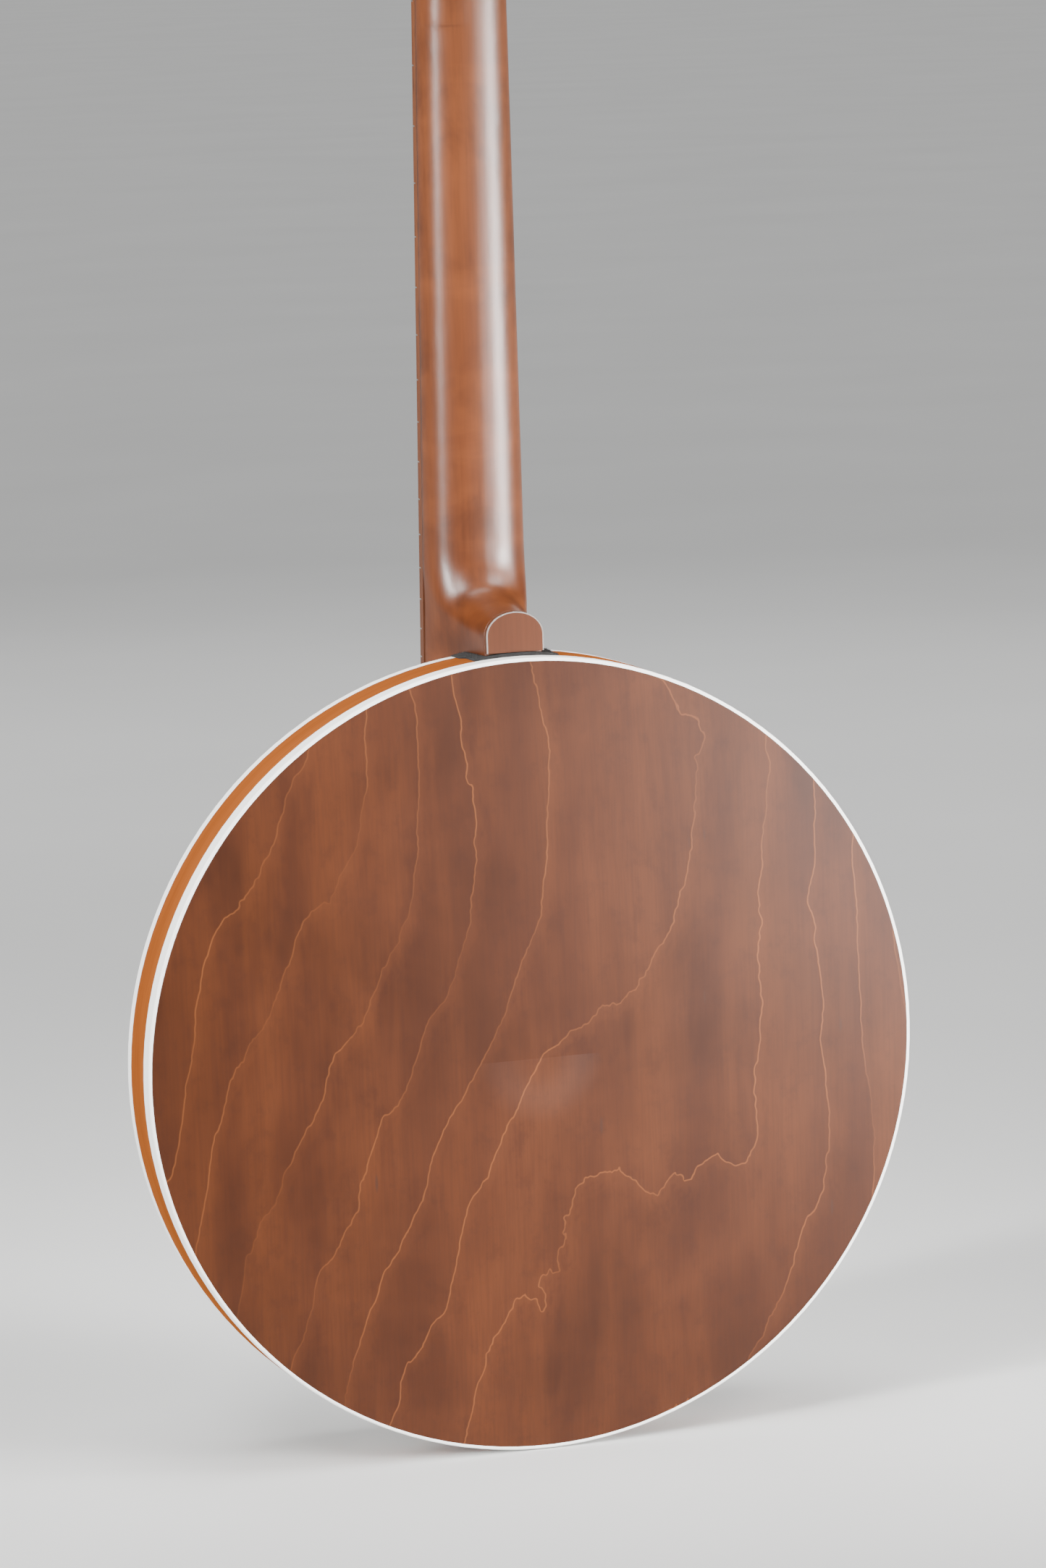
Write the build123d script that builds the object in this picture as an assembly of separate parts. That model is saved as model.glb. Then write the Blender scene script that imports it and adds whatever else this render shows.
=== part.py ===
"""Five-string resonator banjo: neck, pot and resonator as an assembly of separate pieces, in millimetres.

Two working frames are used. The pot frame has Y along the pot's axis (0 at the resonator's back edge,
positive towards the head) and Z towards the neck, with Z = 0 at the rim's centre. The neck frame has its
origin on the fingerboard's top face at the last fret, Z along the neck and Y out of the fingerboard.
Everything is shifted at the end so that the origin is where a hanger's yoke carries the neck.
"""

import os
from math import atan2, cos, degrees, pi, radians, sin, tan

from build123d import *

# ---------------------------------------------------------------- resonator
resonator_radius = 176.0
resonator_depth = 34.6
resonator_wall = 6.0
back_thickness = 4.5
back_arch = 5.0
binding_thickness = 1.5
back_binding_height = 8.5
front_binding_height = 5.8
lining_width = 7.0
lining_height = 5.0
notch_half_width = 19.3
felt_thickness = 1.3
felt_half_width = 22.0
felt_crown = 105.0

# ---------------------------------------------------------------- pot
rim_radius = 139.7
rim_thickness = 15.5
rim_lip = 2.2
rim_below_flange = 22.2
head_radius_inside_ring = 136.5
head_film = 0.3
tone_ring_radius = 3.2
head_fit = 0.05
head_skirt_depth = 10.2
head_hoop_height = 4.0
head_hoop_width = 3.5
hoop_height_over_head = 4.0
hoop_wall = 5.5
hoop_skirt = 2.8
hoop_skirt_depth = 5.0
flange_thickness = 2.6
flange_boss_height = 6.4
flange_boss_width = 15.0
flange_gap = 0.8
hook_count = 24
hook_first_angle = 12.0
hook_wire_radius = 1.9
hook_below_flange = 13.0
hook_gap = 0.35
nut_across_flats = 7.0
nut_length = 11.0
screw_fit = 0.05
thumb_screw_radius = 2.5
lug_width = 22.0
lug_depth = 12.5
lug_height = 17.0
rod_radius = 4.8
rod_above_flange = 13.8
rod_below_flange = 12.2
bolt_radius = 3.0
bolt_clearance = 0.3

# ---------------------------------------------------------------- neck
scale_length = 666.75
fret_count = 22
neck_angle = 2.2
board_over_head = 2.8
board_above_flange = 40.8
last_fret_past_rim = 8.0
board_thickness = 5.0
board_end_overhang = 4.6
nut_width = 31.75
nut_thickness = 5.0
treble_half_at_fifth = 20.45
half_at_last = 23.7
narrow_width_at_fifth = 34.5
shoulder_start = 27.0
shoulder_length = 15.0
neck_depth_at_nut = 16.0
neck_depth_at_heel = 19.5
fret_width = 2.3
fret_height = 1.0
tang_width = 0.6
tang_depth = 2.2
marker_radius = 3.2
side_dot_radius = 1.1
marker_depth = 1.4
heel_cap_y = 10.0
heel_cap_thickness = 3.0
heel_cap_half_width = 13.0
heel_cap_gap = 0.3
heel_cap_side = 7.4
heel_cap_rise = 10.3
heel_line_width = 0.45
heel_line_height = 1.0
heel_scoop_length = 42.4
heel_sweep = 2.0
heel_flush = 4.0
hole_play = 0.25

# ---------------------------------------------------------------- peghead and tuners
peghead_angle = 13.0
peghead_length = 152.0
peghead_thickness = 14.5
peghead_drop = 6.0
veneer_thickness = 1.5
tuner_rows = (52.0, 104.0)
tuner_half_spacing = 18.5
wheel_teeth = 14
gear_module = 0.7
worm_pitch_radius = 2.2
worm_tip_radius = 2.7
worm_core_radius = 1.5
wheel_tip_radius = 5.4
wheel_root_radius = 4.2
wheel_thickness = 2.0
post_radius = 3.0
post_height = 21.0
bushing_radius = 5.0
housing_size = (14.6, 9.0, 20.0)
housing_wall = 1.2
button_length = 16.0
fifth_peg_offset = 20.0
fifth_peg_depth = 3.5
fifth_post_radius = 2.6
fifth_barrel_radius = 6.3
fifth_barrel_length = 12.0
fifth_post_span = 8.0
truss_rod_radius = 2.4
truss_channel_width = 5.6
truss_rod_depth = 7.6

# ---------------------------------------------------------------- strings, bridge, tailpiece, armrest
bridge_height = 15.9
bridge_compensation = 2.0
bridge_spacing = 10.6
string_edge = 3.2
string_over_nut = 1.6
string_radii = (0.13, 0.15, 0.17, 0.28, 0.13)
string_fit = 0.08
tail_spacing = 5.2
tail_length = 52.5
tail_past_hoop = 4.8
tail_base_over_board = 3.6
tail_plate = 1.3
tail_height = 6.4
armrest_width = 33.8
armrest_crest = 16.8
armrest_from = 84.0
armrest_to = 132.0

# ---------------------------------------------------------------- derived sizes
flange_top_y = resonator_depth - 0.4
flange_bottom_y = flange_top_y - flange_thickness
boss_top_y = flange_bottom_y + flange_boss_height
rim_back_y = flange_top_y - rim_below_flange
rod_upper_y = flange_top_y + rod_above_flange
rod_lower_y = flange_top_y - rod_below_flange
board_top_y = flange_top_y + board_above_flange
tail_base_y = board_top_y + tail_base_over_board
head_y = board_top_y - board_over_head
rim_top_y = head_y - head_film - 2 * tone_ring_radius
inner_radius = resonator_radius - resonator_wall
panel_radius = resonator_radius - binding_thickness
skirt_bottom_y = head_y - head_skirt_depth
head_skirt_radius = rim_radius + head_fit + head_film
hoop_inner_radius = head_skirt_radius + 1.15
hoop_outer_radius = hoop_inner_radius + hoop_wall
hoop_top_y = head_y + hoop_height_over_head
hoop_bottom_y = skirt_bottom_y - hoop_skirt_depth
hook_circle = hoop_outer_radius + hook_gap + hook_wire_radius + 0.25
last_fret_z = rim_radius + last_fret_past_rim
heel_cap_bottom_z = resonator_radius + felt_thickness + heel_cap_gap
heel_cap_shoulder_z = heel_cap_bottom_z + heel_cap_side
heel_cap_top_z = heel_cap_shoulder_z + heel_cap_rise
heel_start_z = heel_cap_top_z - last_fret_z + heel_scoop_length
tail_rear_z = -(hoop_outer_radius + tail_past_hoop)
tail_front_z = tail_rear_z + tail_length
flange_radius = inner_radius - flange_gap
rim_lower_radius = rim_radius - rim_lip
hook_step = (360 - 2 * hook_first_angle) / (hook_count - 1)
hook_angles = [hook_first_angle + i * hook_step for i in range(hook_count)]
screw_circle = flange_radius - 8.2
screw_angles = [hook_first_angle + (i + 0.5) * hook_step for i in (2, 8, 14, 20)]
bridge_z = last_fret_z - (scale_length * 2 ** (-fret_count / 12)) - bridge_compensation


def fret_z(number):
    """Height of a fret in the neck frame; fret 0 is the nut's face."""
    return scale_length * (2 ** (-number / 12) - 2 ** (-fret_count / 12))


nut_z = fret_z(0)
fifth_z = fret_z(5)
edge_slope = (half_at_last - treble_half_at_fifth) / fifth_z
shoulder_z = fifth_z + shoulder_start
narrow_z = shoulder_z + shoulder_length
nut_centre_x = nut_width / 2 - (half_at_last - edge_slope * nut_z)
worm_offset = wheel_teeth * gear_module / 2 + worm_pitch_radius
wheel_pitch = pi * gear_module
hanger_z = nut_z + nut_thickness
neck_place = Pos(0, board_top_y, last_fret_z) * Rot(neck_angle, 0, 0)
peghead_place = neck_place * Pos(nut_centre_x, -peghead_drop, nut_z + nut_thickness) * Rot(peghead_angle, 0, 0)
hanger_point = (neck_place * Pos(nut_centre_x, -board_thickness - neck_depth_at_nut / 2, hanger_z)).position
to_row = Pos(-hanger_point.X, -hanger_point.Y, -hanger_point.Z)


def treble_x(z):
    """The treble edge of the neck and fingerboard."""
    return -(half_at_last - edge_slope * z)


def wide_x(z):
    """The bass edge from the heel up to the fifth string's shoulder."""
    return half_at_last - edge_slope * z


def narrow_x(z):
    """The bass edge above the shoulder, for four strings."""
    at_nut = treble_x(nut_z) + nut_width
    at_fifth = treble_x(fifth_z) + narrow_width_at_fifth
    return at_fifth + (at_nut - at_fifth) * (z - fifth_z) / (nut_z - fifth_z)


# ---------------------------------------------------------------- helpers
def ring(r_in, r_out, y0, y1):
    """A ring round the Y axis."""
    section = Pos((r_in + r_out) / 2, (y0 + y1) / 2) * Rectangle(r_out - r_in, y1 - y0)
    return revolve(section, Axis.Y)


def disc(radius, y0, y1, x=0.0, z=0.0):
    """A round bar along Y."""
    return Pos(x, (y0 + y1) / 2, z) * Rot(90, 0, 0) * Cylinder(radius, y1 - y0)


def bar_x(radius, x0, x1, y=0.0, z=0.0):
    """A round bar along X."""
    return Pos((x0 + x1) / 2, y, z) * Rot(0, 90, 0) * Cylinder(radius, x1 - x0)


def bar_z(radius, z0, z1, x=0.0, y=0.0):
    """A round bar along Z."""
    return Pos(x, y, (z0 + z1) / 2) * Cylinder(radius, z1 - z0)


def block(x0, x1, y0, y1, z0, z1):
    """A box between two corners."""
    return Pos((x0 + x1) / 2, (y0 + y1) / 2, (z0 + z1) / 2) * Box(x1 - x0, y1 - y0, z1 - z0)


def around(angle):
    """Turns a piece made at the neck side (+Z) round the pot's axis, towards +X."""
    return Rot(0, angle, 0)


def slab(outline, y0, y1):
    """Extrudes a face drawn as (x, z) from y0 to y1."""
    plane = Plane(origin=(0, y1, 0), x_dir=(1, 0, 0), z_dir=(0, -1, 0))
    return extrude(plane * outline, amount=y1 - y0)


def closed(*edges):
    """A face from edges that meet end to end."""
    return make_face(Wire(list(edges)))


def profile(*points):
    """A straight-sided revolved profile, drawn as (radius, y)."""
    return revolve(make_face(Polyline(*points, close=True)), Axis.Y)


def hexagon(across_flats, y0, y1, x=0.0, z=0.0):
    """A six-sided prism along Y."""
    return Pos(x, 0, z) * slab(RegularPolygon(across_flats / 2, 6, major_radius=False), y0, y1)


# ---------------------------------------------------------------- resonator pieces
def resonator_back():
    """Arched laminated panel, inside the back binding."""
    half = panel_radius
    outer = ThreePointArc((-half, 0), (0, -back_arch), (half, 0))
    inner = ThreePointArc((-half, back_thickness), (0, back_thickness - back_arch), (half, back_thickness))
    section = closed(
        outer, Line((half, 0), (half, back_thickness)), inner, Line((-half, 0), (-half, back_thickness))
    )
    half_plane = Pos(half / 2 + 5, 0) * Rectangle(half + 10, 4 * (back_arch + back_thickness))
    return revolve(section & half_plane, Axis.Y)


def notch_shape(extra=0.0, bottom=0.0):
    """The opening that the heel passes through in the resonator's wall."""
    half = notch_half_width + extra
    return block(-half, half, back_binding_height + bottom, 2 * resonator_depth, inner_radius - 50,
                 resonator_radius + 20)


def resonator_wall_hoop():
    wall = profile(
        (inner_radius, back_thickness),
        (panel_radius, back_thickness),
        (panel_radius, back_binding_height),
        (resonator_radius, back_binding_height),
        (resonator_radius, resonator_depth - front_binding_height),
        (panel_radius, resonator_depth - front_binding_height),
        (panel_radius, resonator_depth),
        (inner_radius, resonator_depth),
    )
    return wall - notch_shape()


def back_binding():
    corner = 0.5
    return profile(
        (panel_radius, 0),
        (resonator_radius - corner, 0),
        (resonator_radius, corner),
        (resonator_radius, back_binding_height),
        (panel_radius, back_binding_height),
    )


def front_binding():
    low = resonator_depth - front_binding_height
    corner = 0.5
    strip = profile(
        (panel_radius, low),
        (resonator_radius, low),
        (resonator_radius, resonator_depth - corner),
        (resonator_radius - corner, resonator_depth),
        (panel_radius, resonator_depth),
    )
    return strip - notch_shape()


def resonator_lining():
    """Triangular lining glued in the corner between the panel and the wall."""
    corner = profile(
        (inner_radius - lining_width, back_thickness),
        (inner_radius, back_thickness),
        (inner_radius, back_thickness + lining_height),
        (inner_radius - 1.5, back_thickness + lining_height),
    )
    return corner - resonator_back() - notch_shape()


def heel_felt():
    """Felt gasket that fills the notch round the heel and feathers out over the wall's outside."""
    half = felt_half_width
    top = resonator_radius + felt_thickness
    low = back_binding_height
    crown = disc(felt_crown, low, resonator_depth, z=top - felt_crown)
    sheet = ring(inner_radius - 0.3, top + 1, low, resonator_depth) & crown
    inside = sheet & notch_shape()
    flap = sheet - ring(1, resonator_radius, 0, 2 * resonator_depth)
    right = [(half, resonator_depth), (half - 0.6, 0.72 * resonator_depth), (half - 4.5, 2 * low), (half - 9, low)]
    left = [(-x, y) for x, y in reversed(right)]
    plan = Plane(origin=(0, 0, inner_radius - 50), x_dir=(1, 0, 0), z_dir=(0, 0, 1)) * make_face(
        Polyline(*right, *left, close=True)
    )
    flap &= extrude(plan, amount=80)
    return (inside + flap) - heel_opening()


def heel_opening():
    """The room the heel takes in the felt, with 0.3 mm all round."""
    low = heel_cap_y + heel_cap_thickness
    high = resonator_depth + 1
    sides = [(heel_half_width(low, 165) + 0.3, low - 0.3), (heel_half_width(high, 165) + 0.3, high)]
    corners = sides + [(-x, y) for x, y in reversed(sides)]
    plan = Plane(origin=(0, 0, inner_radius - 50), x_dir=(1, 0, 0), z_dir=(0, 0, 1))
    return extrude(plan * make_face(Polyline(*corners, close=True)), amount=80)


def lug_at(angle):
    raw = block(-lug_width / 2, lug_width / 2, flange_bottom_y - 0.4 - lug_height, flange_bottom_y - 0.4,
                inner_radius - lug_depth, inner_radius + 10)
    lug = raw & ring(1, inner_radius, 0, resonator_depth)
    bore = disc(thumb_screw_radius + screw_fit, 0, resonator_depth, z=screw_circle)
    return around(angle) * (lug - bore)


def wall_lugs():
    return [lug_at(angle) for angle in screw_angles]


def thumb_screw(angle):
    """Shank, collar and flat thumb piece."""
    tip_y = flange_bottom_y - 14.0
    shank = disc(thumb_screw_radius, tip_y, flange_top_y, z=screw_circle)
    collar = disc(5.0, flange_top_y, flange_top_y + 2.0, z=screw_circle)
    stem = disc(2.6, flange_top_y + 2.0, flange_top_y + 6.0, z=screw_circle)
    wing = slab(Pos(0, 0) * Rectangle(3.0, 13.0), flange_top_y + 5.0, flange_top_y + 13.5)
    wing = fillet(wing.edges().filter_by(Axis.X), 3.0)
    wing = Pos(0, 0, screw_circle) * wing
    return around(angle) * (shank + collar + stem + wing)


# ---------------------------------------------------------------- pot pieces
def rod_holes(y):
    return bar_z(bolt_radius + bolt_clearance, -rim_radius - 5, rim_radius + 5, y=y)


def rim():
    outer_lip_y = boss_top_y
    body = profile(
        (rim_radius - rim_thickness, rim_back_y),
        (rim_lower_radius, rim_back_y),
        (rim_lower_radius, outer_lip_y),
        (rim_radius, outer_lip_y),
        (rim_radius, rim_top_y),
        (rim_radius - rim_thickness, rim_top_y),
    )
    return body - rod_holes(rod_upper_y) - rod_holes(rod_lower_y)


def tone_ring():
    centre_y = rim_top_y + tone_ring_radius
    return revolve(Pos(rim_radius - tone_ring_radius, centre_y) * Circle(tone_ring_radius), Axis.Y)


def head():
    """Frosted film, turned down over the tone ring."""
    centre_r = rim_radius - tone_ring_radius
    centre_y = rim_top_y + tone_ring_radius
    r_in = tone_ring_radius + head_fit
    r_out = r_in + head_film - head_fit
    diagonal = 2**-0.5
    flare = 0.55
    skirt_y = skirt_bottom_y
    outer_arc = ThreePointArc(
        (centre_r, centre_y + r_out),
        (centre_r + r_out * diagonal, centre_y + r_out * diagonal),
        (centre_r + r_out, centre_y),
    )
    inner_arc = ThreePointArc(
        (centre_r, centre_y + r_in),
        (centre_r + r_in * diagonal, centre_y + r_in * diagonal),
        (centre_r + r_in, centre_y),
    )
    section = closed(
        Line((0, centre_y + r_out), (centre_r, centre_y + r_out)),
        outer_arc,
        Line((centre_r + r_out, centre_y), (centre_r + r_out + flare, skirt_y)),
        Line((centre_r + r_out + flare, skirt_y), (centre_r + r_in + flare, skirt_y)),
        Line((centre_r + r_in + flare, skirt_y), (centre_r + r_in, centre_y)),
        inner_arc,
        Line((centre_r, centre_y + r_in), (0, centre_y + r_in)),
        Line((0, centre_y + r_in), (0, centre_y + r_out)),
    )
    return revolve(section, Axis.Y)


def head_hoop():
    return ring(rim_radius + 0.25, rim_radius + 0.25 + head_hoop_width,
                skirt_bottom_y - head_hoop_height, skirt_bottom_y)


def tension_hoop():
    """L-section hoop with a notch for each hook and a recess for the fingerboard's end."""
    skirt_in = hoop_outer_radius - hoop_skirt
    body = profile(
        (hoop_inner_radius, skirt_bottom_y),
        (skirt_in, skirt_bottom_y),
        (skirt_in, hoop_bottom_y),
        (hoop_outer_radius, hoop_bottom_y),
        (hoop_outer_radius, hoop_top_y),
        (hoop_inner_radius, hoop_top_y),
    )
    tip = hook_circle - 2 * hook_bend_radius()
    for angle in hook_angles:
        cut = block(-hook_wire_radius - 0.3, hook_wire_radius + 0.3, hook_tip_y(), hoop_top_y + 1,
                    tip - hook_wire_radius - 0.3, hoop_outer_radius + 1)
        body -= around(angle) * cut
    recess = block(-half_at_last - 1.0, half_at_last + 1.0, board_top_y - board_thickness - 1.0,
                   hoop_top_y + 1, rim_radius / 2, hoop_outer_radius + 5)
    return body - recess


def hook_bend_radius():
    return (hook_circle - (hoop_outer_radius - hook_wire_radius + 0.3)) / 2


def hook_tip_y():
    return hoop_top_y - 3.0


def hook_at(angle):
    """A round hook: shank, half-turn bend and short tip."""
    bend = hook_bend_radius()
    bend_y = hoop_top_y - 0.4
    foot_y = flange_bottom_y - hook_below_flange
    shank = disc(hook_wire_radius, foot_y, bend_y, z=hook_circle)
    tip = disc(hook_wire_radius, hook_tip_y(), bend_y, z=hook_circle - 2 * bend)
    section = Plane(origin=(0, bend_y, hook_circle), x_dir=(1, 0, 0), z_dir=(0, 1, 0)) * Circle(hook_wire_radius)
    axis = Axis((0, bend_y, hook_circle - bend), (1, 0, 0))
    turn = revolve(section, axis, -180)
    return around(angle) * (shank + tip + turn)


def bracket_hooks():
    return [hook_at(angle) for angle in hook_angles]


def hook_nuts():
    """Hexagonal nuts with a domed foot, drawn up under the flange."""
    nuts = []
    for angle in hook_angles:
        foot = flange_bottom_y - nut_length
        nut = hexagon(nut_across_flats, foot, flange_bottom_y, z=hook_circle)
        nut -= disc(hook_wire_radius + screw_fit, foot - 1, flange_bottom_y + 1, z=hook_circle)
        nuts.append(around(angle) * nut)
    return nuts


def flange():
    """One-piece flange: raised inner boss for the hooks, pierced plate out to the wall."""
    boss_outer = rim_lower_radius + 0.3 + flange_boss_width
    plate = ring(rim_lower_radius + 0.3, flange_radius, flange_bottom_y, flange_top_y)
    boss = ring(rim_lower_radius + 0.3, boss_outer, flange_bottom_y, boss_top_y)
    body = plate + boss
    slot_r = (boss_outer + flange_radius) / 2 + 0.6
    slot_half = slot_r * radians(hook_step) / 2 - 5.6
    for i in range(hook_count - 1):
        middle = hook_angles[i] + hook_step / 2
        if any(abs(middle - a) < 1 for a in screw_angles):
            cutter = disc(thumb_screw_radius + hole_play, 0, resonator_depth + 5, z=screw_circle)
        else:
            cutter = slab(
                Pos(0, slot_r) * SlotOverall(2 * slot_half, 6.4)
                + Pos(0, slot_r) * Circle(4.6),
                flange_bottom_y - 1, flange_top_y + 1,
            )
        body -= around(middle) * cutter
    for angle in hook_angles:
        body -= around(angle) * disc(hook_wire_radius + hole_play, 0, boss_top_y + 5, z=hook_circle)
    heel_gap = heel_half_width(flange_top_y, inner_radius) + 1.5
    heel_room = block(-heel_gap, heel_gap, 0, 2 * resonator_depth, rim_radius / 2, resonator_radius)
    heel_room &= ring(rim_lower_radius + 0.3 + 6.0, flange_radius + 5, 0, 2 * resonator_depth)
    return body - heel_room


def coordinator_rods():
    """Two rods across the pot, with their end bolts, washers and nuts."""
    end = rim_radius - rim_thickness
    solids = []
    for y in (rod_upper_y, rod_lower_y):
        inner_end = end - 8.0
        rod = bar_z(rod_radius, -inner_end, inner_end, y=y)
        rod -= bar_z(bolt_radius + screw_fit, inner_end - 22, inner_end + 1, y=y)
        tail_reach = tail_stack_z if y == rod_upper_y else rim_lower_radius + 6.5
        tail_bolt = bar_z(bolt_radius, -tail_reach, -inner_end, y=y)
        solids.append(rod + tail_bolt)
        for side in (1, -1):
            solids.append(rod_washer(side * (end - 1.5), side * end, y))
            solids.append(rod_nut(side * (end - 7.0), side * (end - 1.5), y))
        outer = rim_radius if y == rod_upper_y else rim_lower_radius
        solids.append(rod_washer(-outer, -outer - 1.5, y))
        if y == rod_lower_y:
            solids.append(rod_nut(-outer - 1.5, -outer - 6.0, y))
    return solids


def rod_washer(z0, z1, y):
    low, high = min(z0, z1), max(z0, z1)
    washer = bar_z(7.0, low, high, y=y) - bar_z(bolt_radius + screw_fit, low - 1, high + 1, y=y)
    curved = ring(rim_radius - rim_thickness, rim_lower_radius if y == rod_lower_y else rim_radius, 0, 100)
    return washer - curved


def rod_nut(z0, z1, y):
    low, high = min(z0, z1), max(z0, z1)
    prism = Pos(0, y, low) * extrude(RegularPolygon(5.5, 6, major_radius=False), amount=high - low)
    return prism - bar_z(bolt_radius + screw_fit, low - 1, high + 1, y=y)


def neck_bolts():
    """Two hanger bolts, screwed into the heel and into the coordinator rods."""
    inner = rim_radius - rim_thickness - 8.0 - 18.0
    return [bar_z(bolt_radius, inner, rim_radius + 26.0, y=y) for y in (rod_upper_y, rod_lower_y)]


# ---------------------------------------------------------------- neck pieces
def neck_section(z, x_low, x_high, depth, fullness=0.0):
    """A D-shaped section of the neck's wood, flat under the fingerboard. Fullness 1 is nearly square."""
    mid = (x_low + x_high) / 2
    half = (x_high - x_low) / 2
    top = -board_thickness
    low = top - depth
    knee = 0.74 + 0.24 * fullness
    flat = 0.60 + 0.36 * fullness
    plane = Plane(origin=(mid, 0, z), x_dir=(1, 0, 0), z_dir=(0, 0, 1))
    right = Bezier((half, top), (half, top - knee * depth), (flat * half, low), (0, low))
    left = Bezier((0, low), (-flat * half, low), (-half, top - knee * depth), (-half, top))
    return plane * closed(Line((-half, top), (half, top)), right, left)


def along_neck(y, z):
    """The neck frame's Z of a point given in the pot frame."""
    return (z - last_fret_z) * cos(radians(neck_angle)) - (y - board_top_y) * sin(radians(neck_angle))


def heel_half_width(y, z, blend=1.0):
    """Half the heel's width: it sweeps in from the fingerboard's edge to the cap. Blend 0 is the plain neck."""
    board = half_at_last - edge_slope * along_neck(y, z)
    cap_top = heel_cap_y + heel_cap_thickness
    rise = (y - cap_top) / (board_top_y - board_thickness - heel_flush - cap_top)
    rise = min(1.0, max(0.0, rise))
    sweep = heel_cap_half_width + (board - heel_cap_half_width) * rise ** heel_sweep
    return board + blend * (sweep - board)


def tombstone(half, z_bottom, z_shoulder, z_top):
    """Outline with straight sides and a rounded top, drawn as (x, z)."""
    rise = z_top - z_shoulder
    left = Bezier((-half, z_shoulder), (-half, z_shoulder + 0.56 * rise), (-0.56 * half, z_top), (0, z_top))
    right = Bezier((0, z_top), (0.56 * half, z_top), (half, z_shoulder + 0.56 * rise), (half, z_shoulder))
    return closed(
        Line((-half, z_bottom), (-half, z_shoulder)), left, right,
        Line((half, z_shoulder), (half, z_bottom)), Line((half, z_bottom), (-half, z_bottom)),
    )


def heel_curve():
    """The heel's centre line from the neck's back to the cap: (y, z, turn in degrees, share of the way)."""
    straight = []
    for z in (heel_start_z, heel_start_z - 7, heel_start_z - 14):
        on_neck = (neck_place * Pos(0, -board_thickness - depth_at(z), z)).position
        straight.append((on_neck.Y, on_neck.Z))
    y0, z0 = straight[-1]
    y1, z1 = heel_cap_y + heel_cap_thickness, heel_cap_top_z
    lean = tan(radians(neck_angle))
    reach = 0.78 * (z0 - z1)
    tight = 0.80 * (y0 - y1)
    bend = Bezier((y0, z0), (y0 + reach * lean, z0 - reach), (y1 + tight, z1), (y1, z1))
    points = [(y, z, -neck_angle, 0.0) for y, z in straight[:-1]]
    for share in (0.0, 0.16, 0.32, 0.48, 0.62, 0.76, 0.88, 1.0):
        at = bend @ share
        way = bend % share
        points.append((at.X, at.Y, degrees(atan2(-way.X, -way.Y)), share))
    return points


def heel_section(y, z, turn, share):
    """A section of the heel square to its centre line, reaching past the fingerboard or the rim."""
    ramp = min(1.0, share / 0.6)
    blend = ramp * ramp * (3 - 2 * ramp)
    along_y = cos(radians(turn))
    along_z = -sin(radians(turn))
    to_board = (board_top_y + 3 - y) / along_y if along_y > 0.01 else 999
    to_rim = (z - rim_radius + 17.7) / -along_z if along_z < -0.01 else 999
    length = min(to_board, to_rim)
    neck_depth = depth_at(along_neck(y, z))
    round_depth = neck_depth + blend * (heel_cap_top_z - heel_cap_shoulder_z - neck_depth)
    knee = 0.74 - 0.18 * blend
    flat = 0.60 - 0.04 * blend

    def half(depth):
        return heel_half_width(y + depth * along_y, z + depth * along_z, blend)

    low_knee = round_depth * (1 - knee)
    third = (length - round_depth) / 3
    near = half(round_depth) + third * (half(round_depth + 0.5) - half(round_depth)) / 0.5
    far = half(length) - third * (half(length) - half(length - 0.5)) / 0.5
    side = [(half(round_depth), round_depth), (near, round_depth + third), (far, length - third),
            (half(length), length)]
    plane = Plane(origin=(0, y, z), x_dir=(1, 0, 0), z_dir=(0, -along_z, along_y))
    right = Bezier((half(round_depth), round_depth), (half(low_knee), low_knee), (flat * half(0), 0), (0, 0))
    left = Bezier((0, 0), (-flat * half(0), 0), (-half(low_knee), low_knee), (-half(round_depth), round_depth))
    return plane * closed(
        Line((-half(length), length), (half(length), length)),
        Bezier(*reversed(side)), right, left, Bezier(*[(-x, s) for x, s in side]),
    )


def heel_block():
    """The heel, lofted along its centre line from the neck's back to the cap."""
    return loft([heel_section(*point) for point in heel_curve()])


def neck_outline(margin=0.0, z_low=-60.0, z_high=None):
    """Plan of the neck with the fifth string's shoulder, drawn as (x, z)."""
    z_high = nut_z if z_high is None else z_high
    swing = shoulder_length * 0.5
    corner = (wide_x(shoulder_z), shoulder_z)
    landing = (narrow_x(narrow_z), narrow_z)
    s_curve = Bezier(corner, (corner[0], corner[1] + swing), (landing[0], landing[1] - swing), landing)
    return closed(
        Line((treble_x(z_low) - margin, z_low), (treble_x(z_high) - margin, z_high)),
        Line((treble_x(z_high) - margin, z_high), (narrow_x(z_high), z_high)),
        Line((narrow_x(z_high), z_high), landing),
        s_curve,
        Line(corner, (wide_x(z_low), z_low)),
        Line((wide_x(z_low), z_low), (treble_x(z_low) - margin, z_low)),
    )


def depth_at(z):
    return neck_depth_at_heel + (neck_depth_at_nut - neck_depth_at_heel) * z / nut_z


def neck_shaft():
    """The playing length: a wide part up to the shoulder and a narrow part above it."""
    low, high = heel_start_z, narrow_z + 6.0
    wide = loft([neck_section(z, treble_x(z), wide_x(z), depth_at(z)) for z in (low, fifth_z / 2, high)])
    wide = wide & slab(neck_outline(5.0, low - 5, high + 20), -60, 10)
    start = fifth_z - 10.0
    spans = (start, (start + nut_z) / 2, nut_z + 1.0)
    narrow = loft([neck_section(z, treble_x(z), narrow_x(z), depth_at(z)) for z in spans])
    return wide + narrow


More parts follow.
